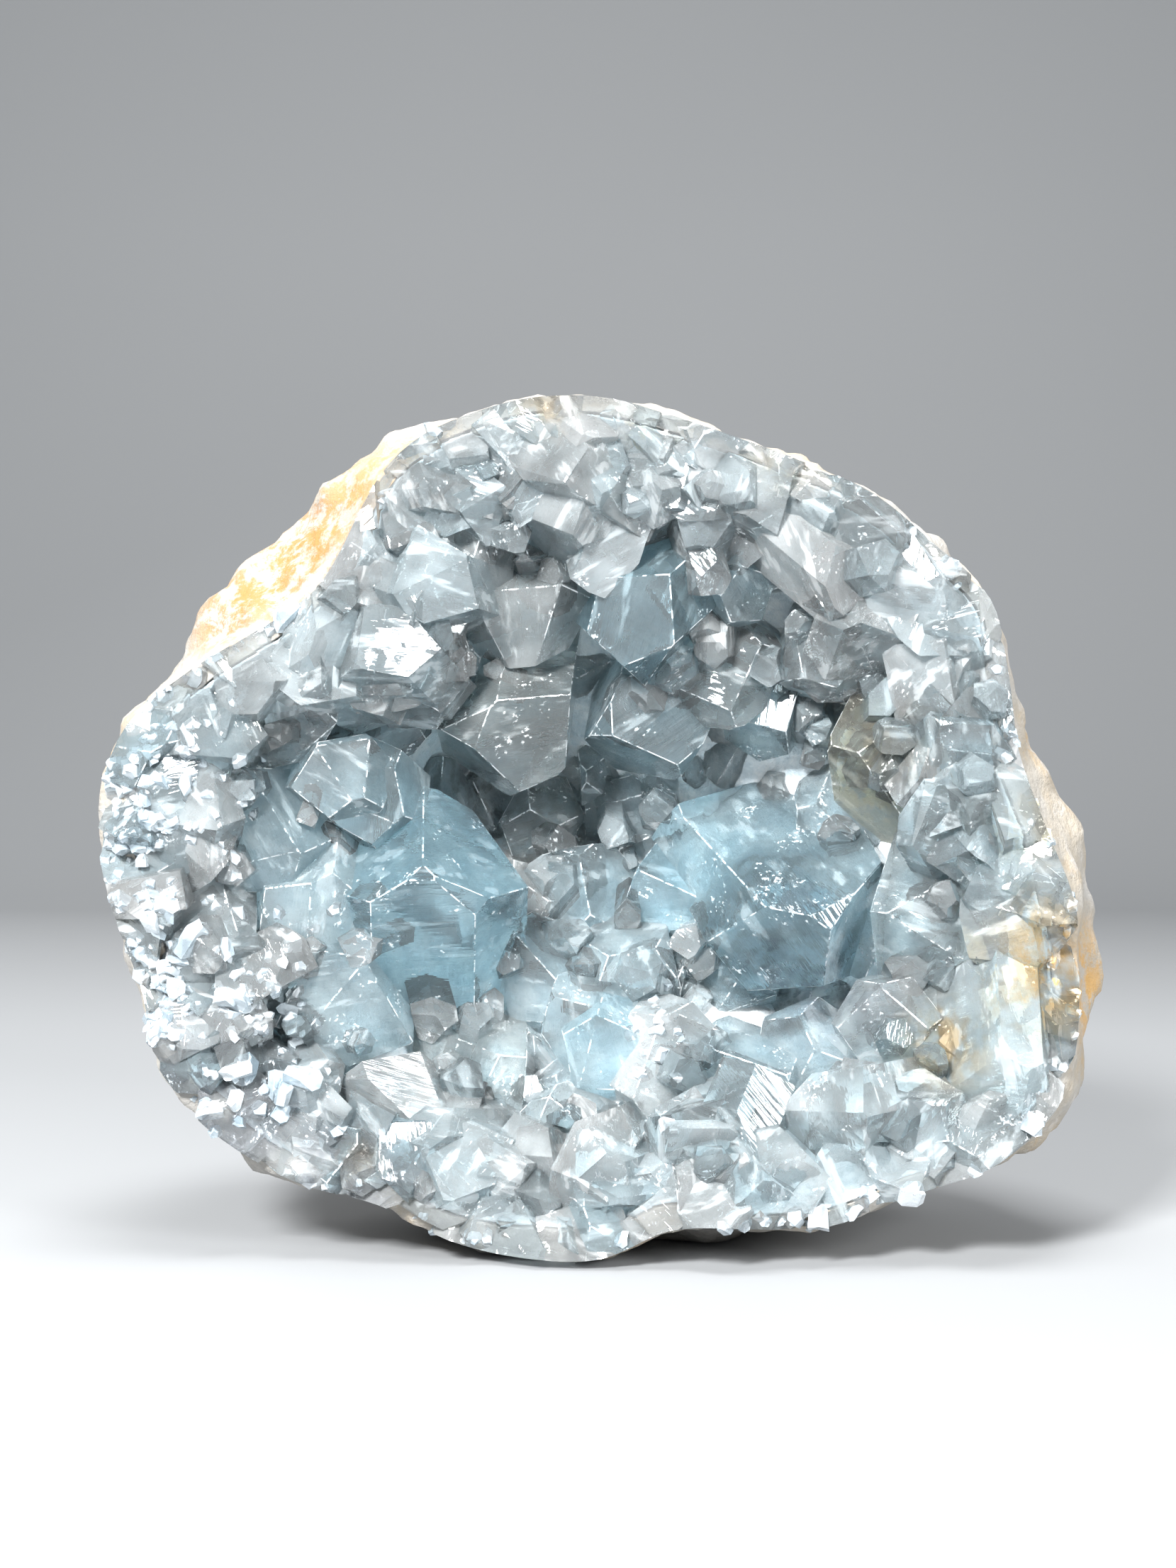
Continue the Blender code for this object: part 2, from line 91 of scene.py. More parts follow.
SKIN_SWELL = 0.026
BAND_SWELL = 0.020
FULL_BAND = 0.002
WIDEST = 0.18
WALL_SLOPE = 0.002
SKIN_BOWL = (2.5, 0.52)
HOLLOW_BOWL = (2.4, 0.50)
LAYER_BOWL = (1.25, 0.80)
LUMP_HEIGHT = 0.0036
LUMP_SIZE = 0.017
KNOB_HEIGHT = 0.0016
KNOB_SIZE = 0.007
WALL_LUMP = 0.0012
WALL_GRAIN = 0.0006
WALL_GRAIN_SIZE = 0.0022
BED_LUMP = (0.0009, 0.006)
BED_GRAIN = (0.0010, 0.0030)
LUMP_FADE = 0.12
EDGE_LUMPS = 0.1

BELLY_DROP = 0.0135
BELLY_X = 0.008
BELLY_Y = 0.003
BELLY_REACH_X = 0.050
BELLY_REACH_Y = 0.042

HOLLOW_BACK_Y = 0.028
HOLLOW_SWELL = 0.012
LAYER_BACK_Y = 0.002
LAYER_EDGE = 0.0008
LAYER_ROOT = 0.008
EDGE_INSET = 0.0004
ROOM_FRONT = 0.030
ROOM_NARROWER = 0.0060

# The deep pockets between the crystals: place (x, z), depth and reach
POCKETS = (
    (-0.016, 0.071, 0.016, 0.020),
    (0.033, 0.042, 0.013, 0.018),
)

# Angles in degrees between a face's normal and the crystal's long axis, or its broad axis
PRISM_ANGLE = 37.9
CHISEL_ANGLE = 38.0
HIP_ANGLE = 50.6

# The photograph's viewpoint, from the mouth, and the height of its frame in the mouth's plane
SIGHT_DISTANCE = 0.337
SIGHT_X = -0.0015
SIGHT_Z = 0.071
FRAME_HEIGHT = 2212 / 9490
SENSOR_MM = 36.0

# Main crystals, all but one placed as in the solids: tip (x, z) in the mouth and its depth,
# the way the tip points (x, z, out), width, thickness, roll; then how blue, how milky and
# how warm they are, and how much of the tip is broken away. mm, degrees and shares.
MAIN_CRYSTALS = (
    # Round the deep pockets
    (34, 45, 12, 0.25, -0.62, 0.74, 22, 19, 10, 0.75, 0.15, 0, 0),
    (-15, 73, 14, -0.1, -0.74, 0.67, 15, 13, 30, 0.3, 0.3, 0.2, 0),
    (-26, 65, 9, 0.04, 0.78, 0.62, 19, 16, 0, 0.8, 0.2, 0, 0),
    (1, 91, 7, -0.6, -0.56, 0.57, 14, 11, 35, 1, 0.1, 0, 0),
    (7, 76, 17, -0.1, -0.6, 0.79, 15, 12, 60, 0.6, 0.25, 0, 0),
    (19, 84, 11, 0.05, -0.55, 0.83, 12, 10, 20, 0.35, 0.35, 0.1, 0.25),
    (33, 86, 10, -0.1, -0.6, 0.79, 10, 9, 70, 0.4, 0.35, 0, 0),
    (40, 90, 8, -0.2, -0.55, 0.81, 8, 7, 15, 0.55, 0.2, 0, 0),
    (23, 80, 17, -0.35, -0.4, 0.85, 12, 8, 75, 0.65, 0.15, 0, 0),
    (-11, 55, 27, 0.2, 0.3, 0.93, 9, 8, 45, 0.1, 0.8, 0.05, 0.25),
    (-2, 56, 29, 0.05, 0.2, 0.98, 13, 10, 10, 0.6, 0.4, 0, 0),
    (13, 55, 24, -0.1, 0.3, 0.95, 17, 13, 65, 0.9, 0.1, 0, 0),
    (5, 46, 20, 0, 0.45, 0.89, 14, 10, 100, 0.5, 0.4, 0, 0),
    (-9, 45, 20, 0.05, 0.35, 0.93, 13, 11, 40, 0.5, 0.35, 0, 0),
    (-1, 38, 14, 0, 0.4, 0.92, 12, 10, 75, 0.45, 0.4, 0, 0),
    (20, 45, 24, -0.05, 0.35, 0.93, 12, 10, 20, 0.6, 0.2, 0, 0),
    (30, 40, 40, 0, 0.1, 0.99, 14, 10, 85, 0.6, 0.15, 0, 0),
    (-17, 68, 43, 0.05, 0, 1, 9, 7, 25, 0.3, 0.3, 0.1, 0),
    (-8, 66, 36, 0.1, 0.1, 0.99, 10, 9, 60, 0.3, 0.4, 0.1, 0),
    # Upper right
    (48, 90, 4, -0.45, -0.35, 0.82, 14, 15, 20, 0.55, 0.55, 0, 0.35),
    (46, 103, 3, -0.45, -0.45, 0.77, 13, 10, 60, 0.8, 0.3, 0, 0.25),
    (28, 104, 5, -0.25, -0.55, 0.8, 13, 11, 5, 0.5, 0.45, 0, 0.3),
    (31, 112, 2, -0.45, -0.35, 0.82, 12, 10, 40, 0.4, 0.6, 0, 0.35),
    (13, 114, 4, -0.1, -0.6, 0.79, 11, 9, 70, 0.45, 0.4, 0.1, 0.2),
    (19, 97, 9, -0.15, -0.55, 0.82, 9, 8, 15, 0.65, 0.2, 0, 0),
    (41, 75, 7, -0.5, -0.1, 0.86, 19, 12, 75, 0.2, 0.3, 0.9, 0.15),
    (57, 67, 4, -0.5, 0, 0.87, 12, 12, 40, 0.6, 0.2, 0.25, 0.15),
    # Upper left
    (4, 114, 1, 0, -0.5, 0.87, 14, 11, 20, 0.25, 0.6, 0.05, 0.4),
    (-10, 121, 1, 0.05, -0.45, 0.89, 10, 9, 50, 0.55, 0.5, 0, 0.25),
    (-11, 108, 6, 0.05, -0.65, 0.76, 9, 8, 10, 0.75, 0.1, 0, 0),
    (-18, 101, 6, 0.15, -0.6, 0.79, 9, 10, 35, 0.25, 0.4, 0.05, 0),
    (-24, 94, 6, 0.25, -0.5, 0.83, 10, 8, 80, 0.4, 0.4, 0, 0.2),
    (-12, 92, 8, 0, -0.65, 0.76, 14, 9, 5, 0.3, 0.55, 0.1, 0.35),
    (-25, 84, 7, 0.3, -0.35, 0.89, 10, 8, 60, 0.45, 0.35, 0, 0.2),
    (-34, 94, 4, 0.4, -0.35, 0.85, 10, 8, 25, 0.35, 0.5, 0, 0.3),
    (-27, 107, 3, 0.3, -0.45, 0.84, 9, 8, 65, 0.3, 0.5, 0, 0.25),
    # Left
    (-30, 69, 9, 0.45, 0, 0.89, 11, 15, 20, 0.65, 0.25, 0, 0.15),
    (-48, 64, 4, 0.4, 0, 0.92, 14, 13, 50, 0.65, 0.25, 0, 0.2),
    (-45, 82, 2, 0.35, -0.2, 0.91, 14, 10, 75, 0.5, 0.45, 0, 0.35),
    (-37, 53, 7, 0.4, 0.15, 0.9, 17, 18, 35, 0.45, 0.45, 0, 0.25),
    (-33, 40, 8, 0.52, 0.2, 0.83, 15, 14, 15, 0.55, 0.35, 0, 0.2),
    (-38, 24, 5, 0.3, 0.45, 0.84, 17, 14, 70, 0.75, 0.2, 0, 0.25),
    (-36, 72, 4, 0.35, 0, 0.94, 10, 9, 10, 0.45, 0.35, 0, 0.25),
    (-57, 52, 2, 0.35, 0.1, 0.93, 11, 10, 30, 0.3, 0.55, 0, 0.35),
    # Bottom
    (-19, 31, 13, 0.1, 0.4, 0.91, 20, 13, 85, 0.4, 0.35, 0.15, 0.15),
    (-21, 19, 5, 0.05, 0.5, 0.86, 10, 9, 20, 0.2, 0.7, 0, 0.3),
    (-21, 12, 2, 0, 0.45, 0.89, 12, 10, 60, 0.75, 0.3, 0, 0.25),
    (-4, 20, 5, 0, 0.45, 0.89, 12, 11, 35, 0.35, 0.5, 0, 0.3),
    (2, 35, 9, -0.05, 0.5, 0.86, 11, 11, 50, 0.75, 0.25, 0, 0.15),
    (11, 32, 6, 0, 0.45, 0.89, 13, 17, 10, 0.1, 0.85, 0, 0.4),
    (22, 29, 7, -0.05, 0.5, 0.86, 12, 10, 75, 0.65, 0.25, 0, 0.2),
    (31, 34, 11, -0.1, 0.45, 0.89, 11, 10, 25, 0.4, 0.3, 0, 0),
    (-10, 12, 2, 0, 0.35, 0.94, 10, 8, 15, 0.35, 0.5, 0, 0.3),
    (11, 15, 2, 0, 0.4, 0.92, 12, 9, 55, 0.45, 0.5, 0, 0.35),
    (23, 15, 2, -0.05, 0.4, 0.92, 11, 10, 80, 0.45, 0.45, 0, 0.3),
    (35, 17, 1, -0.1, 0.4, 0.91, 13, 11, 30, 0.25, 0.6, 0, 0.4),
    # Right and lower right
    (50, 51, 4, -0.4, 0.05, 0.92, 24, 15, 85, 0.45, 0.35, 0.05, 0.2),
    (42, 39, 4, -0.25, 0.55, 0.8, 10, 11, 5, 0.2, 0.6, 0, 0.25),
    (53, 32, 1, -0.35, 0.3, 0.89, 20, 17, 40, 0.35, 0.5, 0.2, 0.3),
    (57, 9, -2, 0.1, -0.72, 0.69, 15, 13, 0, 0.4, 0.4, 0, 0),
)
MAIN_SCALE = 1.36
MAIN_SEED = 21
MAIN_TILT = 0.55
MAIN_HIP = 0.24
HIP_STEP = 0.10
PLAIN_HIP = 0.34
SHORTEST = 0.004
LONGEST = 0.060
LENGTH_STEP = 0.001

# More breaks of some crystals, by row: which way the break faces and mm below the tip
MORE_BREAKS = {
    0: (((-0.15, -0.70, 0.75), -8.0), ((-0.75, -0.60, 0.10), -9.0)),
    2: (((0.60, -0.75, 0.0), -7.0),),
    3: (((-0.55, -0.80, 0.15), -3.0),),
    5: (((0.30, -0.90, 0.25), -2.0),),
    26: (((0.10, -0.85, 0.50), -5.0),),
    39: (((0.55, -0.80, 0.20), -1.0),),
    55: (((-0.45, -0.85, 0.25), -4.0), ((0.20, -0.80, -0.45), -5.0)),
    57: (((-0.60, -0.75, -0.20), -4.0),),
}

# Iron stains on the crystals, then painted shade on them in the two deep pockets and at the
# lower left: place (x, z), reach and strength
STAINS = (
    (0.069, 0.044, 0.017, 1.0),
    (0.052, 0.032, 0.010, 0.8),
    (0.070, 0.066, 0.013, 0.5),
    (0.043, 0.077, 0.010, 0.3),
    (-0.008, 0.127, 0.007, 0.5),
    (0.028, 0.119, 0.007, 0.4),
    (-0.036, 0.015, 0.005, 0.6),
)
# Painted shade: the crystals made darker in the two deep pockets and at the lower left
PAINTED_SHADE_SPOTS = (
    (-0.058, 0.020, 0.022, 0.9),
    (-0.040, 0.010, 0.018, 0.8),
    (0.033, 0.041, 0.016, 1.0),
    (-0.017, 0.070, 0.011, 0.8),
)

# Small crystals that fill between the main ones, as in the solids
FILL_ROWS = 5
FILL_COUNT = 30
FILL_SEED = 13
FILL_SIZE = (0.0085, 0.0130)
FILL_SPREAD = 0.40
EDGE_FILL_SCALE = 0.85
FILL_GROWTH = 1.32
FILL_LOOKS_SEED = 5
FILL_SLIMNESS = 0.78
FILL_BROKEN = 0.7
FILL_TILT = 0.9
FILL_LOST = (0.05, 0.30)

# Finer crystals, which only this script makes
CREVICE_SEED = 31
CREVICE_COUNT = 100
CREVICE_SIZE = (0.0032, 0.0075)
CREVICE_REACH = 0.0035
CREVICE_DEPTH = 0.0009
POCKET_CLEAR = 0.014
RIM_SEED = 77
RIM_COUNT = 330
RIM_INSET = 0.0012
RIM_REACH = 0.0140
RIM_LIFT = 0.0012
RIM_SPREAD = 0.85
RIM_TILT = 0.8
RIM_SIZE = (0.0075, 0.0170)
GRAIN_SEED = 47
GRAIN_COUNT = 800
GRAIN_SIZE = (0.0009, 0.0021)
GRAIN_JOG = 0.13
# Where grains lie thickest: how thickly, then middle and reach in x and in z
GRAIN_FIELDS = (
    (1.0, -0.068, 0.020, 0.052, 0.050),
    (1.0, -0.056, 0.020, 0.034, 0.024),
    (0.6, 0.072, 0.010, 0.055, 0.045),
    (0.5, 0.010, 0.008, 0.030, 0.012),
)
TRIES = 12

# The mouth's box, for trying places in it
MOUTH_X = (-0.073, 0.073)
MOUTH_Z = (0.004, 0.128)
GRAIN_X = (-0.078, 0.080)
GRAIN_Z = (0.003, 0.131)
LOOK_FROM = 0.04

CHAMFER = 0.00022
CHAMFER_LEAN = math.radians(8.0)
FINE_SIDE = 0.0034
SMALL_SIDE = 0.004
SIDE_FACTORS = (1.0, 0.92, 1.09, 0.80, 1.25, 0.70)
BREAK_SIDE = 0.0013
FACE_WAVE = 0.00005
FACE_WAVE_SIZE = 0.0045
BREAK_WAVE = 0.00040
BREAK_WAVE_SIZE = 0.0026
BREAK_STRETCH = 0.35
SOFTEST_EDGE = 16.0

# Points round and rings deep of the skin, the hollow and the bed, and the wall's rings
SKIN_POINTS = 430
SKIN_RINGS = 150
WALL_SHARES = (0.15, 0.35, 0.55, 0.75, 0.92)
HOLLOW_RINGS = 10
BED_POINTS = 300
BED_RINGS = 70
ROOM_POINTS = 180
ROOM_SHARES = (0.14, 0.30, 0.50, 0.70, 0.85)

# Relief of the skin: height and size of knobs, grains and fine roughness; pits
SKIN_KNOBS = (0.0006, 0.0042)
SKIN_GRAINS = (0.0005, 0.0034)
SKIN_FINE = (0.00022, 0.0016)
SKIN_PITS = (0.0022, 0.011)
PIT_START = 0.32

CELESTITE_IOR = 1.62
ABSORBED = (0.40, 0.66, 0.73)
ABSORBED_DENSITY = 30.0
PALE_CRYSTAL = (0.95, 0.97, 0.97)
BLUE_CRYSTAL = (0.61, 0.81, 0.89)
WARM_CRYSTAL = (0.86, 0.85, 0.74)
STAIN_TONE = (0.80, 0.58, 0.28)
# The tone of the painted shade laid on the crystals in the deep pockets and at the lower left
PAINTED_SHADE_TONE = (0.47, 0.51, 0.56)

# Stains by place, reach and tone: on the grains and the bed; on the bed, with painted shade in
# the two deep pockets; on the skin
GRAIN_STAINS = (
    ((0.068, -0.038, 0.044), 0.017, (0.78, 0.52, 0.22)),
    ((0.052, -0.040, 0.032), 0.011, (0.84, 0.70, 0.36)),
    ((0.070, -0.036, 0.066), 0.016, (0.80, 0.72, 0.48)),
    ((-0.008, -0.038, 0.127), 0.008, (0.88, 0.82, 0.60)),
    ((0.006, -0.040, 0.124), 0.007, (0.86, 0.80, 0.58)),
    ((0.028, -0.038, 0.119), 0.009, (0.90, 0.86, 0.68)),
    ((-0.036, -0.038, 0.015), 0.006, (0.88, 0.82, 0.66)),
)
BED_STAINS_AND_SHADE = (
    # Painted shade in the two deep pockets first, then real stains
    ((-0.017, 0.000, 0.070), 0.020, (0.09, 0.12, 0.14)),
    ((0.032, -0.008, 0.042), 0.019, (0.07, 0.10, 0.12)),
    ((-0.012, -0.002, 0.064), 0.010, (0.30, 0.21, 0.14)),
    ((0.040, -0.028, 0.076), 0.016, (0.74, 0.66, 0.42)),
)
SKIN_STAINS = (
    ((-0.048, -0.022, 0.104), 0.036, (0.27, 0.24, 0.19)),
    ((-0.044, -0.030, 0.106), 0.017, (0.36, 0.17, 0.05)),
    ((-0.054, -0.030, 0.096), 0.014, (0.34, 0.16, 0.04)),
    ((-0.034, -0.032, 0.114), 0.013, (0.36, 0.20, 0.07)),
    ((-0.026, -0.034, 0.121), 0.010, (0.38, 0.26, 0.11)),
    ((0.072, -0.030, 0.040), 0.014, (0.44, 0.27, 0.10)),
)

# The studio: half width, where the floor starts, bends and ends, the bend's radius
FLOOR_TONE = (0.33, 0.34, 0.35)
FLOOR_ROUGHNESS = 0.6
FLOOR_HALF = 2.5
FLOOR_FRONT = -1.2
FLOOR_BEND = 0.9
BEND_RADIUS = 0.5
BEND_STEPS = 12
BACKDROP_TOP = 2.2
FLOOR_GAP = 0.0002
# Soft lights: place, power in watts and size
LIGHTS = (
    ("key", (-0.34, -0.78, 0.58), 24.0, 0.20),
    ("fill", (0.62, -0.72, 0.40), 8.5, 0.28),
    ("top", (0.05, -0.15, 0.95), 9.0, 0.40),
    ("rim", (-0.6, 0.7, 0.7), 3.0, 0.5),
)
SURROUND = (0.96, 0.98, 1.0, 1.0)
SURROUND_STRENGTH = 0.38
LIGHT_BOUNCES = 5


def hump(value, middle, reach):
    """1 at the middle, falling smoothly to 0 at the reach on both sides."""
    share = min(abs(value - middle) / reach, 1.0)
    return math.cos(share * math.pi / 2) ** 2


def turn_hump(angle, middle, reach):
    """A hump on a circle, in degrees."""
    apart = (angle - middle + 180.0) % 360.0 - 180.0
    return hump(apart, 0.0, reach)


def edge_radius(angle):
    """The outline of the broken edge at an angle in degrees, as a smooth closed curve."""
    step = 360.0 / len(EDGE_RADII)
    place = (angle % 360.0) / step
    first = int(place)
    share = place - first
    before, start, end, after = (
        EDGE_RADII[(first + shift) % len(EDGE_RADII)] for shift in (-1, 0, 1, 2)
    )
    bend = 2 * before - 5 * start + 4 * end - after
    twist = 3 * (start - end) + after - before
    radius = start + 0.5 * share * (end - before + share * (bend + share * twist))
    return radius * MM


def bands_at(angle, bands, least=0.0):
    """Width at an angle round the stone of bands on top of a least width."""
    return sum((width * turn_hump(angle, *place) for width, *place in bands), least)


def skin_band(angle):
    """Width of skin that shows outside the broken edge, seen into the mouth."""
    return bands_at(angle, SKIN_BANDS)


def wall_width(angle):
    """Width of the broken wall between the skin and the crystals."""
    return bands_at(angle, WALL_BANDS, WALL_LEAST)


def mouth_y(angle):
    """The broken edge wanders in depth."""
    turn = math.radians(angle)
    once, twice, thrice = EDGE_WAVES
    wave = twice * math.sin(2 * turn + 0.6) + thrice * math.sin(3 * turn + 2.0)
    return MOUTH_Y + EDGE_BACK + wave + once * math.sin(turn)


def bowl(share, powers):
    """Radius of a bowl as a share of its mouth, from the mouth (0) to the back (1)."""
    fall, curve = powers
    return max(1.0 - share**fall, 0.0) ** curve


def around(angle, radius, depth_y):
    """The point at an angle and radius about the stone's middle."""
    turn = math.radians(angle)
    return Vector((radius * math.cos(turn), depth_y, MIDDLE_Z + radius * math.sin(turn)))


def skin_point(angle, share):
    """A point of the skin, from the broken edge (share 0) to the back (share 1)."""
    edge = edge_radius(angle)
    band = skin_band(angle)
    rise = math.sin(min(share / WIDEST, 1.0) * math.pi / 2)
    swell = band + edge * (SKIN_SWELL + BAND_SWELL * min(band / FULL_BAND, 1.0))
    start_y = mouth_y(angle) + WALL_SLOPE
    radius = (edge - band + swell * rise) * bowl(share, SKIN_BOWL)
    point = around(angle, radius, start_y + (BACK_Y - start_y) * share)
    outward = (point - Vector((0, 0, MIDDLE_Z))).normalized()
    fade = min(share / LUMP_FADE, 1.0)
    lumps = LUMP_HEIGHT * noise.noise(point / LUMP_SIZE)
    knobs = KNOB_HEIGHT * noise.noise(point / KNOB_SIZE)
    point += outward * (lumps + knobs) * (EDGE_LUMPS + (1.0 - EDGE_LUMPS) * fade)
    below = hump(point.x, BELLY_X, BELLY_REACH_X) * hump(point.y, BELLY_Y, BELLY_REACH_Y)
    under = max(-outward.z, 0.0)
    point.z -= BELLY_DROP * below * under
    return point


def hollow_point(angle, share, inset, back_y):
    """A point of the hollow's wall, or of a bowl that lies inset from it."""
    radius = edge_radius(angle) - skin_band(angle) - wall_width(angle) - inset
    rise = HOLLOW_SWELL * math.sin(min(share / WIDEST, 1.0) * math.pi / 2)
    depth_y = mouth_y(angle) + (back_y - mouth_y(angle)) * share
    return around(angle, radius * (1.0 + rise) * bowl(share, HOLLOW_BOWL), depth_y)


def layer_radius(angle, share):
    """Radius of the layer's face, a wide shallow bowl inside the hollow."""
    radius = edge_radius(angle) - skin_band(angle) - wall_width(angle) - LAYER_EDGE
    return radius * bowl(share, LAYER_BOWL)


def pocket_depth(point):
    """How far the pockets sink the layer at a point."""
    sunk = 0.0
    for x, z, depth, reach in POCKETS:
        sunk += depth * hump(math.hypot(point.x - x, point.z - z), 0.0, reach)
    return sunk


def layer_point(angle, share):
    """A point of the layer that the crystals grow from, sunk at the pockets."""
    depth_y = mouth_y(angle) + (LAYER_BACK_Y - mouth_y(angle)) * share
    point = around(angle, layer_radius(angle, share), depth_y)
    return point + Vector((0, pocket_depth(point), 0))


def in_layer(point):
    """Whether a point has passed through the layer's face."""
    angle = math.degrees(math.atan2(point.z - MIDDLE_Z, point.x))
    face_y = point.y - pocket_depth(point)
    share = (face_y - mouth_y(angle)) / (LAYER_BACK_Y - mouth_y(angle))
    if share <= 0.0:
        return False
    return math.hypot(point.x, point.z - MIDDLE_Z) > layer_radius(angle, min(share, 1.0))


def ring_angles(count):
    """The angles of the points round the stone."""
    return [360.0 * number / count for number in range(count)]


def ring_shares(count):
    """Shares of depth that space the rings evenly along a dome."""
    return [math.sin(math.pi / 2 * number / count) for number in range(count)]


def as_object(name, mesh, materials):
    """Put a bmesh into the scene as an object, moved to where the solids are."""
    mesh.transform(Matrix.Translation((CENTRING_X, 0, 0)))
    data = bpy.data.meshes.new(name)
    mesh.to_mesh(data)
    mesh.free()
    for made in materials:
        data.materials.append(made)
    made = bpy.data.objects.new(name, data)
    bpy.context.scene.collection.objects.link(made)
    return made


def lofted(rings, start_pole, end_pole):
    """A closed mesh through rings of points, closed by a point at each end."""
    mesh = bmesh.new()
    first = mesh.verts.new(start_pole)
    loops = [[mesh.verts.new(point) for point in ring] for ring in rings]
    last = mesh.verts.new(end_pole)
    count = len(loops[0])
    for number in range(count):
        after = (number + 1) % count
        mesh.faces.new((first, loops[0][after], loops[0][number]))
        mesh.faces.new((last, loops[-1][number], loops[-1][after]))
    for near, far in zip(loops, loops[1:]):
        for number in range(count):
            after = (number + 1) % count
            mesh.faces.new((near[number], near[after], far[after], far[number]))
    bmesh.ops.recalc_face_normals(mesh, faces=mesh.faces)
    if mesh.calc_volume(signed=True) < 0:
        bmesh.ops.reverse_faces(mesh, faces=mesh.faces)
    return mesh


def growth_frame(pointing, roll):
    """A rotation whose Z is the way a crystal points, turned about it by the roll."""
    return (
        pointing.to_track_quat("Z", "Y").to_matrix().to_4x4()
        @ Matrix.Rotation(math.radians(roll), 4, "Z")
    )


def meeting_points(normals, reaches):
    """Every corner of the convex solid inside a set of planes, with the planes it is on."""
    first, second, third = np.array(list(combinations(range(len(normals)), 3))).T
    cross = np.cross(normals[second], normals[third])
    spread = np.einsum("ij,ij->i", normals[first], cross)
    meets = np.abs(spread) > 1e-6
    first, second, third = first[meets], second[meets], third[meets]
    points = (
        reaches[first, None] * cross[meets]
        + reaches[second, None] * np.cross(normals[third], normals[first])
        + reaches[third, None] * np.cross(normals[first], normals[second])
    ) / spread[meets, None]
    inside = (points @ normals.T <= reaches + 1e-9).all(axis=1)
    corners = []
    for point, *planes in zip(points[inside], first[inside], second[inside], third[inside]):
        for corner, known in corners:
            if np.abs(corner - point).max() < 1e-8:
                known.update(planes)
                break
        else:
            corners.append((point, set(planes)))
    return corners


def edge_strips(normals, reaches, width):
    """Planes that take a narrow strip off each edge of the convex solid."""
    corners = meeting_points(normals, reaches)
    strips = []
    for first, second in combinations(range(len(normals)), 2):
        shared = [point for point, planes in corners if first in planes and second in planes]
        lean = math.acos(max(-1.0, min(1.0, float(normals[first] @ normals[second]))))
        if len(shared) < 2 or np.ptp(shared, axis=0).max() < width or lean < CHAMFER_LEAN:
            continue
        outward = normals[first] + normals[second]
        outward = outward / np.linalg.norm(outward)
        reach = float(outward @ shared[0]) - width / 2 * math.tan(lean / 2)
        strips.append((tuple(outward), reach))
    return strips


def convex_mesh(planes, broken, worn):
    """A mesh of the convex solid inside planes, some of them broken faces or worn edges."""
    normals = np.array([plane[0] for plane in planes], dtype=float)
    reaches = np.array([plane[1] for plane in planes], dtype=float)
    corners = meeting_points(normals, reaches)
    mesh = bmesh.new()
    wear = mesh.faces.layers.float.new("worn")
    made = [mesh.verts.new(point) for point, _ in corners]
    for number, normal in enumerate(normals):
        ring = [corner for corner, (_, known) in zip(made, corners) if number in known]
        if len(ring) < 3:
            continue
        middle = sum((corner.co for corner in ring), Vector()) / len(ring)
        right = (ring[0].co - middle).normalized()
        ahead = Vector(normal).cross(right)
        ring.sort(key=lambda corner: math.atan2(
            (corner.co - middle).dot(ahead), (corner.co - middle).dot(right)))
        face = mesh.faces.new(ring)
        face.material_index = 1 if number in broken else 0
        face[wear] = 1.0 if number in worn else 0.0
    return mesh


def crystal(tip, pointing, width, thickness, length, roll, hip, breaks=(), chamfer=CHAMFER):
    """A celestite crystal: six-sided prism, chisel end and two hip faces, edges worn.

    The tip is at the origin of its own frame and the crystal runs down -Z. hip says how
    far up the hip faces would meet, as a share of the width. breaks are the planes that
    it is broken along, each a normal in the stone's frame and a depth below the tip.
    """
    across = math.radians(PRISM_ANGLE)
    chisel = math.radians(CHISEL_ANGLE)
    slope = math.radians(HIP_ANGLE)
    planes = [((0, 0, -1), length), ((0, 1, 0), thickness / 2), ((0, -1, 0), thickness / 2)]
    for side in (-1, 1):
        for up in (-1, 1):
            normal = (side * math.cos(across), up * math.sin(across), 0)
            planes.append((normal, width * 0.5))
        planes.append(((side * math.sin(chisel), 0, math.cos(chisel)), 0.0))
        planes.append(((0, side * math.sin(slope), math.cos(slope)),
                       hip * width * math.cos(slope)))
    whole = len(planes)
    turned = growth_frame(pointing, roll)
    back = turned.inverted()
    for normal, depth in breaks:
        planes.append(((back @ normal).normalized()[:], -depth))
    core = len(planes)
    broken = range(whole, core)
    mesh = None
    if chamfer:
        strips = edge_strips(
            np.array([plane[0] for plane in planes], dtype=float),
            np.array([plane[1] for plane in planes], dtype=float),
            chamfer,
        )
        mesh = convex_mesh(planes + strips, broken, range(core, core + len(strips)))
    if mesh is None or not is_closed(mesh):
        mesh = convex_mesh(planes, broken, ())
    mesh.transform(Matrix.Translation(tip) @ turned)
    return mesh


def is_closed(mesh):
    """Whether every edge joins two faces, which a union needs."""
    return bool(mesh.faces) and all(len(edge.link_faces) == 2 for edge in mesh.edges)


def made_fine(mesh, side, broken_side):
    """A copy of a mesh in triangles with no side longer than given."""
    fine = mesh.copy()
    bmesh.ops.triangulate(fine, faces=fine.faces)
    for _ in range(5):
        long = []
        for edge in fine.edges:
            broken = any(face.material_index for face in edge.link_faces)
            if edge.calc_length() > (broken_side if broken else side):
                long.append(edge)
        if not long:
            break
        bmesh.ops.subdivide_edges(fine, edges=long, cuts=1)
        bmesh.ops.triangulate(fine, faces=fine.faces)
    return fine


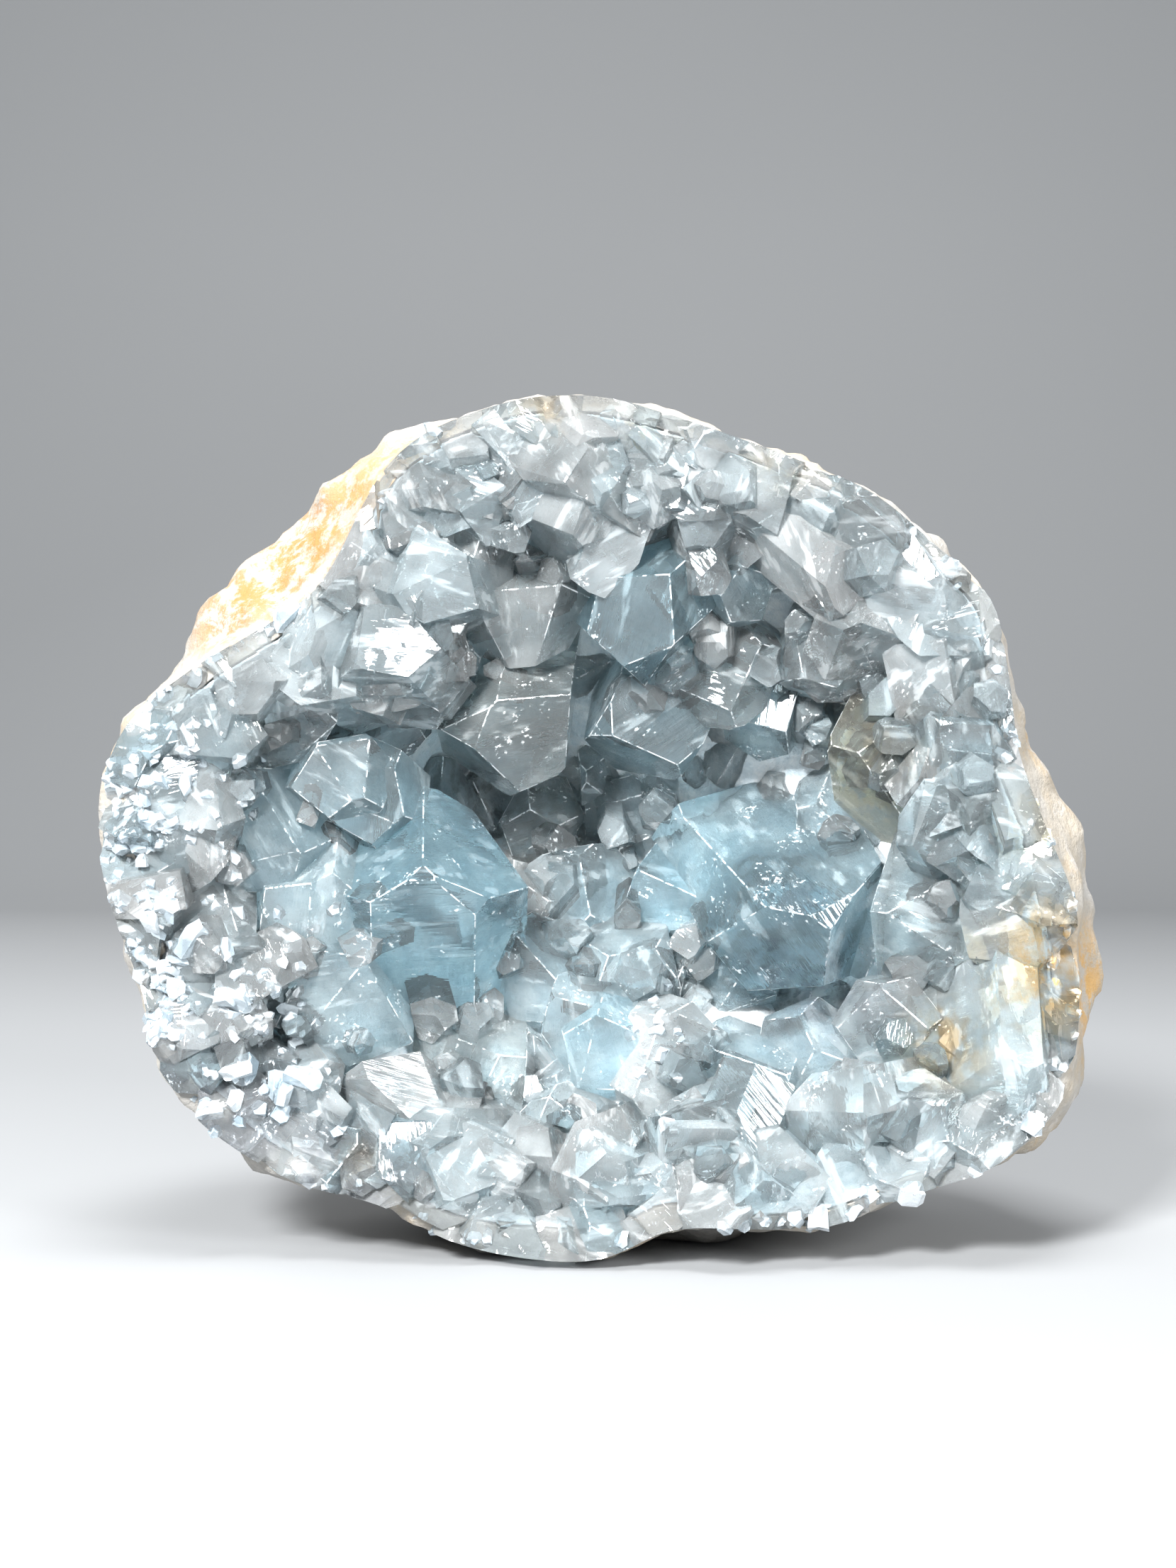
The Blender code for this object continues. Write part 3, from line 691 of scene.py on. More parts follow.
def dressed(mesh, blue, milk, warm, side=FINE_SIDE):
    """Make a crystal's faces fine, wave them a little, and note its colour, its stains and the
    painted shade at its place.
    """
    mesh.verts.ensure_lookup_table()
    lay = 360.0 * (0.5 + noise.noise(1000.0 * mesh.verts[0].co))
    turn = Matrix.Rotation(math.radians(lay), 3, "Y")
    plain = mesh
    for finer in SIDE_FACTORS:
        mesh = made_fine(plain, side * finer, BREAK_SIDE * finer)
        if is_closed(mesh):
            break
    plain.free()
    mesh.normal_update()
    moves = []
    for corner in mesh.verts:
        around_it = corner.link_faces
        broken = sum(face.material_index for face in around_it) / max(len(around_it), 1)
        wave = FACE_WAVE * noise.noise(corner.co / FACE_WAVE_SIZE)
        if broken:
            laid = turn @ corner.co
            laid.x *= BREAK_STRETCH
            ridges = 0.5 - abs(noise.noise(laid / BREAK_WAVE_SIZE))
            steps = noise.noise(corner.co / (3.0 * BREAK_WAVE_SIZE))
            wave += broken * BREAK_WAVE * (ridges + steps)
        moves.append(corner.normal * wave)
    for corner, move in zip(mesh.verts, moves):
        corner.co += move
    # The "dark" value on each face is painted shade, by place in the deep pockets and at the
    # lower left
    for name, value in (("blue", blue), ("milk", milk), ("warm", warm), ("lay", lay),
                        ("stain", STAINS), ("dark", PAINTED_SHADE_SPOTS)):
        layer = mesh.faces.layers.float.new(name)
        by_spot = isinstance(value, tuple)
        for face in mesh.faces:
            face[layer] = spot_share(face.calc_center_median(), value) if by_spot else value
    return mesh


def spot_share(point, spots):
    """1 at the middle of any of some spots and 0 beyond their reaches, seen from the front."""
    return max(
        hump(math.hypot(point.x - x, point.z - z), 0.0, reach) * share
        for x, z, reach, share in spots
    )


def seen_place(x, z, depth):
    """The point at a depth behind the mouth that shows at (x, z) in it."""
    spread = (SIGHT_DISTANCE + depth) / SIGHT_DISTANCE
    return Vector(
        (SIGHT_X + (x - SIGHT_X) * spread, MOUTH_Y + depth, SIGHT_Z + (z - SIGHT_Z) * spread)
    )


def rooted_length(tip, pointing):
    """Length from the tip back to where the crystal is rooted well inside the layer."""
    length = SHORTEST
    while length < LONGEST and not in_layer(tip - pointing * length):
        length += LENGTH_STEP
    return length + LAYER_ROOT


def break_plane(draw, tilt):
    """The normal of a break, facing out of the mouth and tilted a little."""
    lean = Vector((draw.uniform(-tilt, tilt), -1.0, draw.uniform(-tilt, tilt)))
    return lean.normalized()


def main_crystals():
    """The large crystals, each in its own place."""
    draw = random.Random(MAIN_SEED)
    made = []
    for number, row in enumerate(MAIN_CRYSTALS):
        x, z, depth, right, up, out, width, thickness, roll, blue, milk, warm, lost = row
        tip = seen_place(x * MM, z * MM, depth * MM)
        pointing = Vector((right, -out, up)).normalized()
        length = rooted_length(tip, pointing)
        hip = MAIN_HIP + HIP_STEP * (number % 3)
        breadth = MAIN_SCALE * width * MM
        depth_across = MAIN_SCALE * thickness * MM
        breaks = []
        if lost:
            breaks.append((break_plane(draw, MAIN_TILT), lost * breadth * 0.5))
        for normal, depth_below in MORE_BREAKS.get(number, ()):
            breaks.append((Vector(normal).normalized(), depth_below * MM))
        solid = crystal(tip, pointing, breadth, depth_across, length, roll, hip, breaks)
        made.append(dressed(solid, blue, milk, warm))
    return made


def fill_crystals():
    """Small crystals over the whole layer, each pointing roughly away from it."""
    draw = random.Random(FILL_SEED)
    looks = random.Random(FILL_LOOKS_SEED)
    made = []
    for row in range(FILL_ROWS):
        share = 0.03 + 0.90 * row / (FILL_ROWS - 1)
        count = round(FILL_COUNT * max(1.0 - share, 0.1) ** 0.7)
        for number in range(count):
            angle = 360.0 * (number + 0.5 * (row % 2) + draw.uniform(-0.3, 0.3)) / count
            foot = layer_point(angle, min(share + draw.uniform(0.0, 0.05), 0.97))
            inward = Vector((0, MOUTH_Y - 0.01, MIDDLE_Z)) - foot
            lean = Vector([draw.uniform(-FILL_SPREAD, FILL_SPREAD) for _ in range(3)])
            pointing = (inward.normalized() + Vector((0, -0.5, 0)) + lean).normalized()
            width = draw.uniform(*FILL_SIZE) * (EDGE_FILL_SCALE if row == 0 else 1.0)
            tip = foot + pointing * width * draw.uniform(0.25, 0.65)
            width *= FILL_GROWTH
            roll = draw.uniform(0, 180)
            breaks = []
            if looks.random() < FILL_BROKEN:
                lost = break_plane(looks, FILL_TILT), width * looks.uniform(*FILL_LOST)
                breaks.append(lost)
            solid = crystal(tip, pointing, width, width * FILL_SLIMNESS, width * 2.0,
                            roll, PLAIN_HIP, breaks)
            blue = looks.uniform(0.15, 0.8)
            milk = looks.uniform(0.25, 0.6) + (0.25 if row == 0 else 0.0)
            if is_closed(solid):
                made.append(dressed(solid, blue, milk, 0.0))
    return made


def rim_crystals():
    """Broken crystals packed over the wall, out to the stone's edge."""
    draw = random.Random(RIM_SEED)
    made = []
    for number in range(RIM_COUNT):
        angle = draw.uniform(0, 360)
        inset = RIM_INSET + RIM_REACH * draw.random() ** 1.3
        radius = edge_radius(angle) - skin_band(angle) - inset
        lift = RIM_LIFT * noise.noise(Vector((angle / 7.0, radius / 0.004, 0)))
        foot = around(angle, radius, mouth_y(angle) + lift)
        inward = around(angle, -1.0, 0.0) - Vector((0, 0, MIDDLE_Z))
        lean = Vector([draw.uniform(-RIM_SPREAD, RIM_SPREAD) for _ in range(3)])
        pointing = (Vector((0, -1.0, 0)) + 0.25 * inward.normalized() + lean).normalized()
        width = draw.uniform(*RIM_SIZE) * min(0.50 + inset / 0.009, 1.0)
        tip = foot + pointing * width * draw.uniform(0.15, 0.40)
        breaks = [
            (break_plane(draw, RIM_TILT), width * draw.uniform(0.0, 0.28))
            for _ in range(draw.choice((1, 1, 2)))
        ]
        thickness = width * draw.uniform(0.45, 0.90)
        roll = draw.uniform(0, 180)
        solid = crystal(tip, pointing, width, thickness, width * 1.6, roll, PLAIN_HIP,
                        breaks, 0.0)
        blue = draw.uniform(0.0, 0.55)
        milk = draw.uniform(0.35, 0.9)
        if is_closed(solid):
            made.append(dressed(solid, blue, milk, 0.0, SMALL_SIDE))
    return made


def union_of(meshes, name, materials, trim=None):
    """Join closed meshes in one, and trim it to a room if one is given."""
    meshes = [mesh for mesh in meshes if is_closed(mesh)]
    group = bpy.data.collections.new(name)
    bpy.context.scene.collection.children.link(group)
    first = None
    for number, mesh in enumerate(meshes):
        piece = as_object(f"{name}_{number:04d}", mesh, materials)
        if first is None:
            first = piece
            continue
        bpy.context.scene.collection.objects.unlink(piece)
        group.objects.link(piece)
    join = first.modifiers.new("join", "BOOLEAN")
    join.operation = "UNION"
    join.solver = "MANIFOLD"
    join.operand_type = "COLLECTION"
    join.collection = group
    if trim:
        cut = first.modifiers.new("trim", "BOOLEAN")
        cut.operation = "INTERSECT"
        cut.solver = "MANIFOLD"
        cut.object = trim
    graph = bpy.context.evaluated_depsgraph_get()
    data = bpy.data.meshes.new_from_object(first.evaluated_get(graph))
    data.name = name
    for helper in list(group.objects) + [first]:
        bpy.data.objects.remove(helper, do_unlink=True)
    bpy.data.collections.remove(group)
    data.materials.clear()
    for made in materials:
        data.materials.append(made)
    joined = bpy.data.objects.new(name, data)
    bpy.context.scene.collection.objects.link(joined)
    return joined


def crisp(piece, degrees):
    """Smooth shading with the real edges kept sharp."""
    piece.data.shade_smooth()
    piece.data.set_sharp_from_angle(angle=math.radians(degrees))


def make_room():
    """The space that the crystals may fill: inside the broken edge and the hollow."""
    angles = ring_angles(ROOM_POINTS)
    front_y = MOUTH_Y - ROOM_FRONT
    rings = []
    for depth_y, narrower in ((front_y, ROOM_NARROWER), (None, 0.0)):
        ring = []
        for angle in angles:
            radius = edge_radius(angle) - skin_band(angle) - EDGE_INSET - narrower
            ring.append(around(angle, radius, mouth_y(angle) if depth_y is None else depth_y))
        rings.append(ring)
    back_y = HOLLOW_BACK_Y - GAP
    for share in ROOM_SHARES:
        rings.append([hollow_point(angle, share, 0.0, back_y) for angle in angles])
    back = Vector((0, back_y, MIDDLE_Z))
    cap = Vector((0, front_y, MIDDLE_Z))
    room = as_object("room", lofted(rings, cap, back), ())
    room.hide_render = True
    return room


def rough_skin(point):
    """The skin's own relief on top of its lumps: knobs, grains and pits."""
    outward = (point - Vector((0, 0, MIDDLE_Z))).normalized()
    knobs = SKIN_KNOBS[0] * noise.noise(point / SKIN_KNOBS[1])
    grains = SKIN_GRAINS[0] * (0.45 - noise.voronoi(point / SKIN_GRAINS[1])[0][0])
    pit = max(noise.noise(point / SKIN_PITS[1]) - PIT_START, 0.0)
    fine = SKIN_FINE[0] * noise.noise(point / SKIN_FINE[1])
    return outward * (knobs + grains + fine - SKIN_PITS[0] * pit)


def make_skin():
    """The rock: skin, broken wall and hollow, in one closed mesh."""
    angles = ring_angles(SKIN_POINTS)
    skin = []
    for share in ring_shares(SKIN_RINGS):
        ring = []
        for angle in angles:
            point = skin_point(angle, share)
            point += rough_skin(point)
            point.z = max(point.z, 0.0)
            ring.append(point)
        skin.append(ring)
    inner = [hollow_point(angle, 0.0, 0.0, HOLLOW_BACK_Y) for angle in angles]
    wall = []
    for share in WALL_SHARES:
        ring = []
        for outer, point in zip(skin[0], inner):
            place = outer.lerp(point, share)
            lump = WALL_LUMP * noise.noise(place / KNOB_SIZE) * hump(share, 0.5, 0.5)
            grain = WALL_GRAIN * (noise.voronoi(place / WALL_GRAIN_SIZE)[0][0] - 0.5)
            ring.append(place + Vector((0, lump + grain, 0)))
        wall.append(ring)
    hollow = [
        [hollow_point(angle, share, 0.0, HOLLOW_BACK_Y) for angle in angles]
        for share in ring_shares(HOLLOW_RINGS)
    ]
    back = Vector((0, BACK_Y, MIDDLE_Z))
    inside = Vector((0, HOLLOW_BACK_Y, MIDDLE_Z))
    mesh = lofted(skin[::-1] + wall + hollow, back, inside)
    piece = as_object("stone_skin", mesh, (skin_material(),))
    piece.data.shade_smooth()
    return piece


def make_bed():
    """The granular bed between the crystals' roots."""
    angles = ring_angles(BED_POINTS)
    outside = [
        [hollow_point(angle, share, GAP, HOLLOW_BACK_Y - GAP) for angle in angles]
        for share in ring_shares(HOLLOW_RINGS)
    ]
    inside = []
    for share in ring_shares(BED_RINGS):
        ring = []
        for angle in angles:
            point = layer_point(angle, share)
            inward = (Vector((0, MOUTH_Y, MIDDLE_Z)) - point).normalized()
            grain = BED_GRAIN[0] * (0.5 - noise.voronoi(point / BED_GRAIN[1])[0][0])
            lump = BED_LUMP[0] * noise.noise(point / BED_LUMP[1]) + grain
            ring.append(point + inward * lump * min(share / 0.05, 1.0))
        inside.append(ring)
    middle = Vector((0, LAYER_BACK_Y, MIDDLE_Z))
    front = middle + Vector((0, pocket_depth(middle), 0))
    back = Vector((0, HOLLOW_BACK_Y - GAP, MIDDLE_Z))
    mesh = lofted(outside[::-1] + inside, back, front)
    piece = as_object("crystal_bed", mesh, (bed_material(),))
    piece.data.shade_smooth()
    return piece


def surface_under(trees, x, z):
    """The first surface that a look straight into the mouth meets at (x, z)."""
    start = Vector((x + CENTRING_X, MOUTH_Y - LOOK_FROM, z))
    best = None
    for tree in trees:
        place, normal, _, away = tree.ray_cast(start, Vector((0, 1, 0)))
        if place is not None and (best is None or away < best[2]):
            best = (place - Vector((CENTRING_X, 0, 0)), normal, away)
    return best


def small_crystal(draw, place, normal, width, lean):
    """A small crystal half sunk in a surface, leaning off its normal."""
    spread = Vector([draw.uniform(-lean, lean) for _ in range(3)])
    pointing = (normal + spread + Vector((0, -0.3, 0))).normalized()
    tip = place + pointing * width * draw.uniform(0.45, 0.95)
    thickness = width * draw.uniform(0.6, 0.95)
    roll = draw.uniform(0, 180)
    return crystal(tip, pointing, width, thickness, width * 1.9, roll, PLAIN_HIP, (), 0.0)


def crevice_crystals(trees):
    """Small crystals in the gaps between the larger ones."""
    draw = random.Random(CREVICE_SEED)
    made = []
    tries = 0
    while len(made) < CREVICE_COUNT and tries < CREVICE_COUNT * TRIES:
        tries += 1
        x = draw.uniform(*MOUTH_X)
        z = draw.uniform(*MOUTH_Z)
        here = surface_under(trees, x, z)
        if here is None:
            continue
        place, normal, _ = here
        if any(math.hypot(x - spot[0], z - spot[1]) < POCKET_CLEAR for spot in POCKETS):
            continue
        sides = [surface_under(trees, x + dx * CREVICE_REACH, z + dz * CREVICE_REACH)
                 for dx, dz in ((1, 0), (-1, 0), (0, 1), (0, -1))]
        if any(side is None for side in sides):
            continue
        if sum(place.y - side[0].y for side in sides) / len(sides) < CREVICE_DEPTH:
            continue
        width = draw.uniform(*CREVICE_SIZE)
        solid = small_crystal(draw, place, normal, width, 0.5)
        blue = draw.uniform(0.1, 0.7)
        milk = draw.uniform(0.3, 0.8)
        made.append(dressed(solid, blue, milk, 0.0, SMALL_SIDE))
    return made


def grain_share(x, z):
    """How thickly sugary grains cover a place in the mouth, from 0 to 1."""
    angle = math.degrees(math.atan2(z - MIDDLE_Z, x))
    room = edge_radius(angle) - math.hypot(x, z - MIDDLE_Z) - skin_band(angle)
    if room < 0.0003:
        return 0.0
    patch = 0.5 + 0.5 * noise.noise(Vector((x, 0, z)) / 0.009)
    cover = 0.40 * hump(room, 0.0, 0.005) * (1.0 - turn_hump(angle, 90.0, 80.0))
    for most, middle_x, reach_x, middle_z, reach_z in GRAIN_FIELDS:
        field = most * hump(x, middle_x, reach_x) * hump(z, middle_z, reach_z)
        cover = max(cover, field)
    return cover * min(max(2.2 * patch - 0.5, 0.05), 1.0)


def make_grains(trees):
    """Sugary grains over the rim and the massive parts, joined in one mesh."""
    draw = random.Random(GRAIN_SEED)
    tip = Vector((0, 0, 1.0))
    pattern = crystal(tip, Vector((0, 0, 1)), 1.9, 1.5, 2.0, 0.0, 0.30, (), 0.0)
    bmesh.ops.triangulate(pattern, faces=pattern.faces)
    corners = [corner.co.copy() for corner in pattern.verts]
    sides = [[corner.index for corner in face.verts] for face in pattern.faces]
    pattern.free()
    points, faces, shades = [], [], []
    tries = 0
    while len(shades) < GRAIN_COUNT * len(sides) and tries < GRAIN_COUNT * TRIES:
        tries += 1
        x = draw.uniform(*GRAIN_X)
        z = draw.uniform(*GRAIN_Z)
        if draw.random() > grain_share(x, z):
            continue
        here = surface_under(trees, x, z)
        if here is None:
            continue
        place, normal, _ = here
        radius = 0.62 * draw.uniform(*GRAIN_SIZE) * (1.5 if draw.random() < 0.15 else 1.0)
        spread = Vector([draw.uniform(-0.7, 0.7) for _ in range(3)])
        pointing = (normal + spread).normalized()
        form = (
            Matrix.Translation(place - pointing * radius * 0.75)
            @ growth_frame(pointing, draw.uniform(0, 360))
            @ Matrix.Diagonal((radius, radius * draw.uniform(0.6, 1.0),
                               radius * draw.uniform(0.8, 1.5), 1.0))
        )
        first = len(points)
        for corner in corners:
            jog = Vector([draw.uniform(-GRAIN_JOG, GRAIN_JOG) for _ in range(3)])
            points.append(form @ (corner + jog))
        faces += [[first + number for number in side] for side in sides]
        shades += [draw.uniform(0.0, 0.5)] * len(sides)
    data = bpy.data.meshes.new("sugar_grains")
    data.from_pydata(points, [], faces)
    data.transform(Matrix.Translation((CENTRING_X, 0, 0)))
    data.attributes.new("blue", "FLOAT", "FACE").data.foreach_set("value", shades)
    data.materials.append(grain_material())
    made = bpy.data.objects.new("sugar_grains", data)
    bpy.context.scene.collection.objects.link(made)
    return made


class Look:
    """A new material, with its nodes and the place on the stone that they read."""

    def __init__(self, name):
        self.material = bpy.data.materials.new(name)
        self.material.use_nodes = True
        self.nodes = self.material.node_tree.nodes
        self.place = self.add("ShaderNodeTexCoord").outputs["Object"]

    def feed(self, socket, value):
        """Link an output to an input, or set the input to a number, vector or colour."""
        if isinstance(value, bpy.types.NodeSocket):
            self.material.node_tree.links.new(value, socket)
        elif socket.type == "RGBA" and len(value) == 3:
            socket.default_value = (*value, 1.0)
        else:
            socket.default_value = value

    def add(self, kind, inputs=None, **settings):
        """Add a node with its settings, and its inputs by name or number."""
        node = self.nodes.new(kind)
        for name, value in settings.items():
            setattr(node, name, value)
        for name, value in (inputs or {}).items():
            self.feed(node.inputs[name], value)
        return node

    def shade(self, inputs):
        """Set the shader's inputs by name."""
        for name, value in inputs.items():
            self.feed(self.nodes["Principled BSDF"].inputs[name], value)

    def face_value(self, name):
        """A value noted on the faces of a mesh."""
        return self.add("ShaderNodeAttribute", attribute_name=name).outputs["Fac"]

    def noise(self, size, detail=3.0, roughness=0.55, distortion=0.0, place=None):
        """Soft noise whose features are about this size in metres."""
        return self.add("ShaderNodeTexNoise", {
            "Vector": place or self.place, "Scale": 1.0 / size, "Detail": detail,
            "Roughness": roughness, "Distortion": distortion,
        }).outputs["Fac"]

    def laid_noise(self, size, detail, stretch):
        """Noise drawn out along each crystal's own lay."""
        lay = self.maths("MULTIPLY", self.face_value("lay"), math.pi / 180)
        turned = self.add("ShaderNodeVectorRotate", {"Vector": self.place, "Angle": lay},
                          rotation_type="Y_AXIS")
        drawn = self.add("ShaderNodeMapping", {"Vector": turned.outputs[0], "Scale": stretch})
        return self.noise(size, detail, 0.62, 0.0, drawn.outputs["Vector"])

    def ramp(self, source, low, high, start=0.0, end=1.0):
        """Map low..high of a value to start..end, smoothly and clamped."""
        return self.add("ShaderNodeMapRange", {
            "Value": source, "From Min": low, "From Max": high, "To Min": start, "To Max": end,
        }, interpolation_type="SMOOTHSTEP").outputs["Result"]

    def maths(self, operation, first, second):
        """An arithmetic node."""
        return self.add("ShaderNodeMath", {0: first, 1: second}, operation=operation).outputs[0]

    def blend(self, share, first, second):
        """Mix two colours by a share."""
        return self.add("ShaderNodeMix", {"Factor": share, 6: first, 7: second},
                        data_type="RGBA").outputs[2]

    def stained(self, colour, spots, edges):
        """Lay stains over a colour, each round a spot of the stone, with broken edges."""
        for spot, reach, tone in spots:
            away = self.add("ShaderNodeVectorMath", {0: self.place, 1: spot},
                            operation="DISTANCE")
            near = self.ramp(away.outputs["Value"], reach, reach * 0.2)
            colour = self.blend(self.maths("MULTIPLY", near, edges), colour, tone)
        return colour

    def rusty(self, colour):
        """Cream and orange iron stains at the right and lower right of the mouth."""
        edges = self.ramp(self.noise(0.004, 3.0, 0.7), 0.42, 0.60)
        return self.stained(colour, GRAIN_STAINS, edges)

    def bump(self, heights, strength):
        """Stack bumps on the shader, each a height output and its depth in metres."""
        normal = None
        for height, distance in heights:
            inputs = {"Height": height, "Strength": strength, "Distance": distance}
            if normal is not None:
                inputs["Normal"] = normal
            normal = self.add("ShaderNodeBump", inputs).outputs["Normal"]
        self.shade({"Normal": normal})

    def crystal(self, white, frosted, edges, transmission):
        """Clear celestite where white is 0 and frosted where it is 1.

        The colour, the stains and the painted shade come from the values on the faces; edges
        break the stains and the painted shade up.
        """
        pale = self.blend(self.face_value("blue"), PALE_CRYSTAL, BLUE_CRYSTAL)
        clear = self.blend(self.face_value("warm"), pale, WARM_CRYSTAL)
        colour = self.blend(white, clear, frosted)
        # The dark tone is painted shade, laid in the deep pockets and at the lower left; the
        # stain tone is real iron staining
        for name, tone in (("stain", STAIN_TONE), ("dark", PAINTED_SHADE_TONE)):
            mask = self.maths("MULTIPLY", self.face_value(name), edges)
            colour = self.blend(mask, colour, tone)
        self.shade({"Base Color": colour, "Transmission Weight": transmission,
                    "IOR": CELESTITE_IOR})
        volume = self.add("ShaderNodeVolumeAbsorption",
                          {"Color": ABSORBED, "Density": ABSORBED_DENSITY})
        self.feed(self.nodes["Material Output"].inputs["Volume"], volume.outputs["Volume"])


def clear_material():
    """Crystal faces: glossy and clear, with milky clouds, frost specks and worn edges."""
    look = Look("celestite_face")
    clouds = look.ramp(look.noise(0.010, 2.0, 0.6), 0.44, 0.68)
    wisps = look.ramp(look.laid_noise(0.0050, 3.0, (0.3, 1.0, 1.6)), 0.54, 0.66)
    fields = look.noise(0.0060, 3.0, 0.65)
    patches = look.ramp(fields, 0.54, 0.66)
    specks = look.ramp(look.laid_noise(0.00060, 3.0, (0.6, 1.0, 1.0)), 0.53, 0.64)
    flakes = look.ramp(look.noise(0.0022, 3.0, 0.7), 0.42, 0.58)
    white = look.maths("MAXIMUM", look.maths("MULTIPLY", patches, specks),
                       look.maths("MULTIPLY", look.face_value("worn"), flakes))
    cloudy = look.maths("MULTIPLY", look.face_value("milk"), 0.28)
    cloudy = look.maths("ADD", cloudy, look.maths("MULTIPLY", clouds, 0.12))
    cloudy = look.maths("ADD", cloudy, look.maths("MULTIPLY", wisps, 0.24))
    cloudy = look.maths("MAXIMUM", cloudy, look.maths("MULTIPLY", white, 0.90))
    look.crystal(look.ramp(cloudy, 0.30, 0.95), (0.86, 0.89, 0.91),
                 look.ramp(fields, 0.40, 0.56), look.ramp(cloudy, 0.0, 1.0, 0.94, 0.22))
    rough = look.maths("MAXIMUM", look.maths("MULTIPLY", patches, 0.15), white)
    look.shade({"Roughness": look.ramp(rough, 0.0, 1.0, 0.04, 0.34)})
    look.bump(((look.laid_noise(0.0020, 2.0, (0.15, 1.0, 2.4)), 0.00018),), 0.6)
    return look.material


def broken_material():
    """Broken crystal: bright, ridged and frosted, with clear windows between."""
    look = Look("celestite_break")
    ridges = look.laid_noise(0.0018, 4.0, (0.25, 1.0, 1.0))
    fields = look.noise(0.0055, 2.0, 0.6)
    white = look.maths("MULTIPLY", look.ramp(ridges, 0.40, 0.58),
                       look.ramp(fields, 0.36, 0.54, 0.25, 1.0))
    look.crystal(white, (0.88, 0.90, 0.92), look.ramp(fields, 0.40, 0.56),
                 look.ramp(white, 0.0, 1.0, 0.85, 0.18))
    look.shade({"Roughness": look.ramp(ridges, 0.35, 0.65, 0.06, 0.30)})
    look.bump(((ridges, 0.0006),), 0.8)
    return look.material


def grain_material():
    """Sugary grains: small, white to grey-blue, glittering."""
    look = Look("celestite_grain")
    greyer = look.ramp(look.noise(0.006, 3.0), 0.40, 0.70, 0.0, 0.5)
    share = look.maths("ADD", look.face_value("blue"), greyer)
    look.shade({
        "Base Color": look.rusty(look.blend(share, (0.74, 0.79, 0.82), (0.42, 0.54, 0.62))),
        "Roughness": look.ramp(look.noise(0.0015, 2.0), 0.4, 0.6, 0.10, 0.30),
        "Transmission Weight": look.ramp(look.noise(0.003, 2.0), 0.4, 0.65, 0.15, 0.45),
        "IOR": CELESTITE_IOR,
    })
    look.bump(((look.noise(0.0007, 2.0), 0.00008),), 0.6)
    return look.material


def bed_material():
    """The granular bed between the roots: grey-white, rusty in places, with painted shade in
    the deep pockets.
    """
    look = Look("crystal_bed")
    patches = look.ramp(look.noise(0.006, 5.0, 0.65), 0.38, 0.64)
    colour = look.blend(patches, (0.58, 0.68, 0.73), (0.88, 0.91, 0.92))
    edges = look.ramp(look.noise(0.003, 4.0), 0.40, 0.62)
    look.shade({
        # The bed's stains include painted shade in the two deep pockets
        "Base Color": look.rusty(look.stained(colour, BED_STAINS_AND_SHADE, edges)),
        "Roughness": look.ramp(look.noise(0.0015, 2.0), 0.4, 0.6, 0.25, 0.55),
    })
    look.bump(((look.noise(0.0016, 4.0, 0.7), 0.0006),), 0.8)
    return look.material


def skin_material():
    """The outside: chalky cream to grey, with iron stains, pits and fine dark specks."""
    look = Look("stone_skin")
    broad = look.noise(0.020, 5.0, 0.6, 0.4)
    mottle = look.noise(0.005, 5.0, 0.7)
    colour = look.blend(look.ramp(broad, 0.38, 0.62), (0.35, 0.34, 0.32), (0.35, 0.31, 0.25))
    colour = look.blend(look.ramp(mottle, 0.50, 0.68), colour, (0.44, 0.42, 0.39))
    brown = look.maths("MULTIPLY", look.ramp(broad, 0.50, 0.68),
                       look.ramp(look.noise(0.0032, 5.0, 0.7, 0.6), 0.46, 0.60))
    colour = look.blend(look.maths("MULTIPLY", brown, 0.7), colour, (0.40, 0.28, 0.15))
    edges = look.ramp(look.noise(0.0050, 5.0, 0.75, 0.2), 0.42, 0.58)
    colour = look.stained(colour, SKIN_STAINS, edges)
    specks = look.ramp(look.noise(0.0009, 2.0, 0.5), 0.66, 0.74)
    colour = look.blend(look.maths("MULTIPLY", specks, 0.6), colour, (0.36, 0.32, 0.28))
    look.shade({"Base Color": colour,
                "Roughness": look.ramp(mottle, 0.4, 0.7, 0.92, 0.62)})
    look.bump(((look.noise(0.0026, 5.0, 0.7), 0.0007), (look.noise(0.0008, 3.0), 0.0002)), 0.8)
    return look.material


def floor_material():
    """A plain pale surface for the floor and the backdrop."""
    look = Look("pale_floor")
    darker = tuple(0.97 * part for part in FLOOR_TONE)
    look.shade({"Base Color": look.blend(look.noise(0.4, 2.0), FLOOR_TONE, darker),
                "Roughness": FLOOR_ROUGHNESS})
    return look.material


def make_stage():
    """A pale floor that curves up into a backdrop."""
    profile = [(FLOOR_FRONT, 0.0), (FLOOR_BEND, 0.0)]
    for number in range(1, BEND_STEPS + 1):
        turn = math.pi / 2 * number / BEND_STEPS
        profile.append((FLOOR_BEND + BEND_RADIUS * math.sin(turn),
                        BEND_RADIUS - BEND_RADIUS * math.cos(turn)))
    profile.append((FLOOR_BEND + BEND_RADIUS, BACKDROP_TOP))
    mesh = bmesh.new()
    left, right = [
        [mesh.verts.new((x, y, z)) for y, z in profile] for x in (-FLOOR_HALF, FLOOR_HALF)
    ]
    for number in range(len(profile) - 1):
        mesh.faces.new((left[number], right[number], right[number + 1], left[number + 1]))
    floor = as_object("studio_floor", mesh, (floor_material(),))
    floor.data.shade_smooth()
    floor.location.z = -FLOOR_GAP


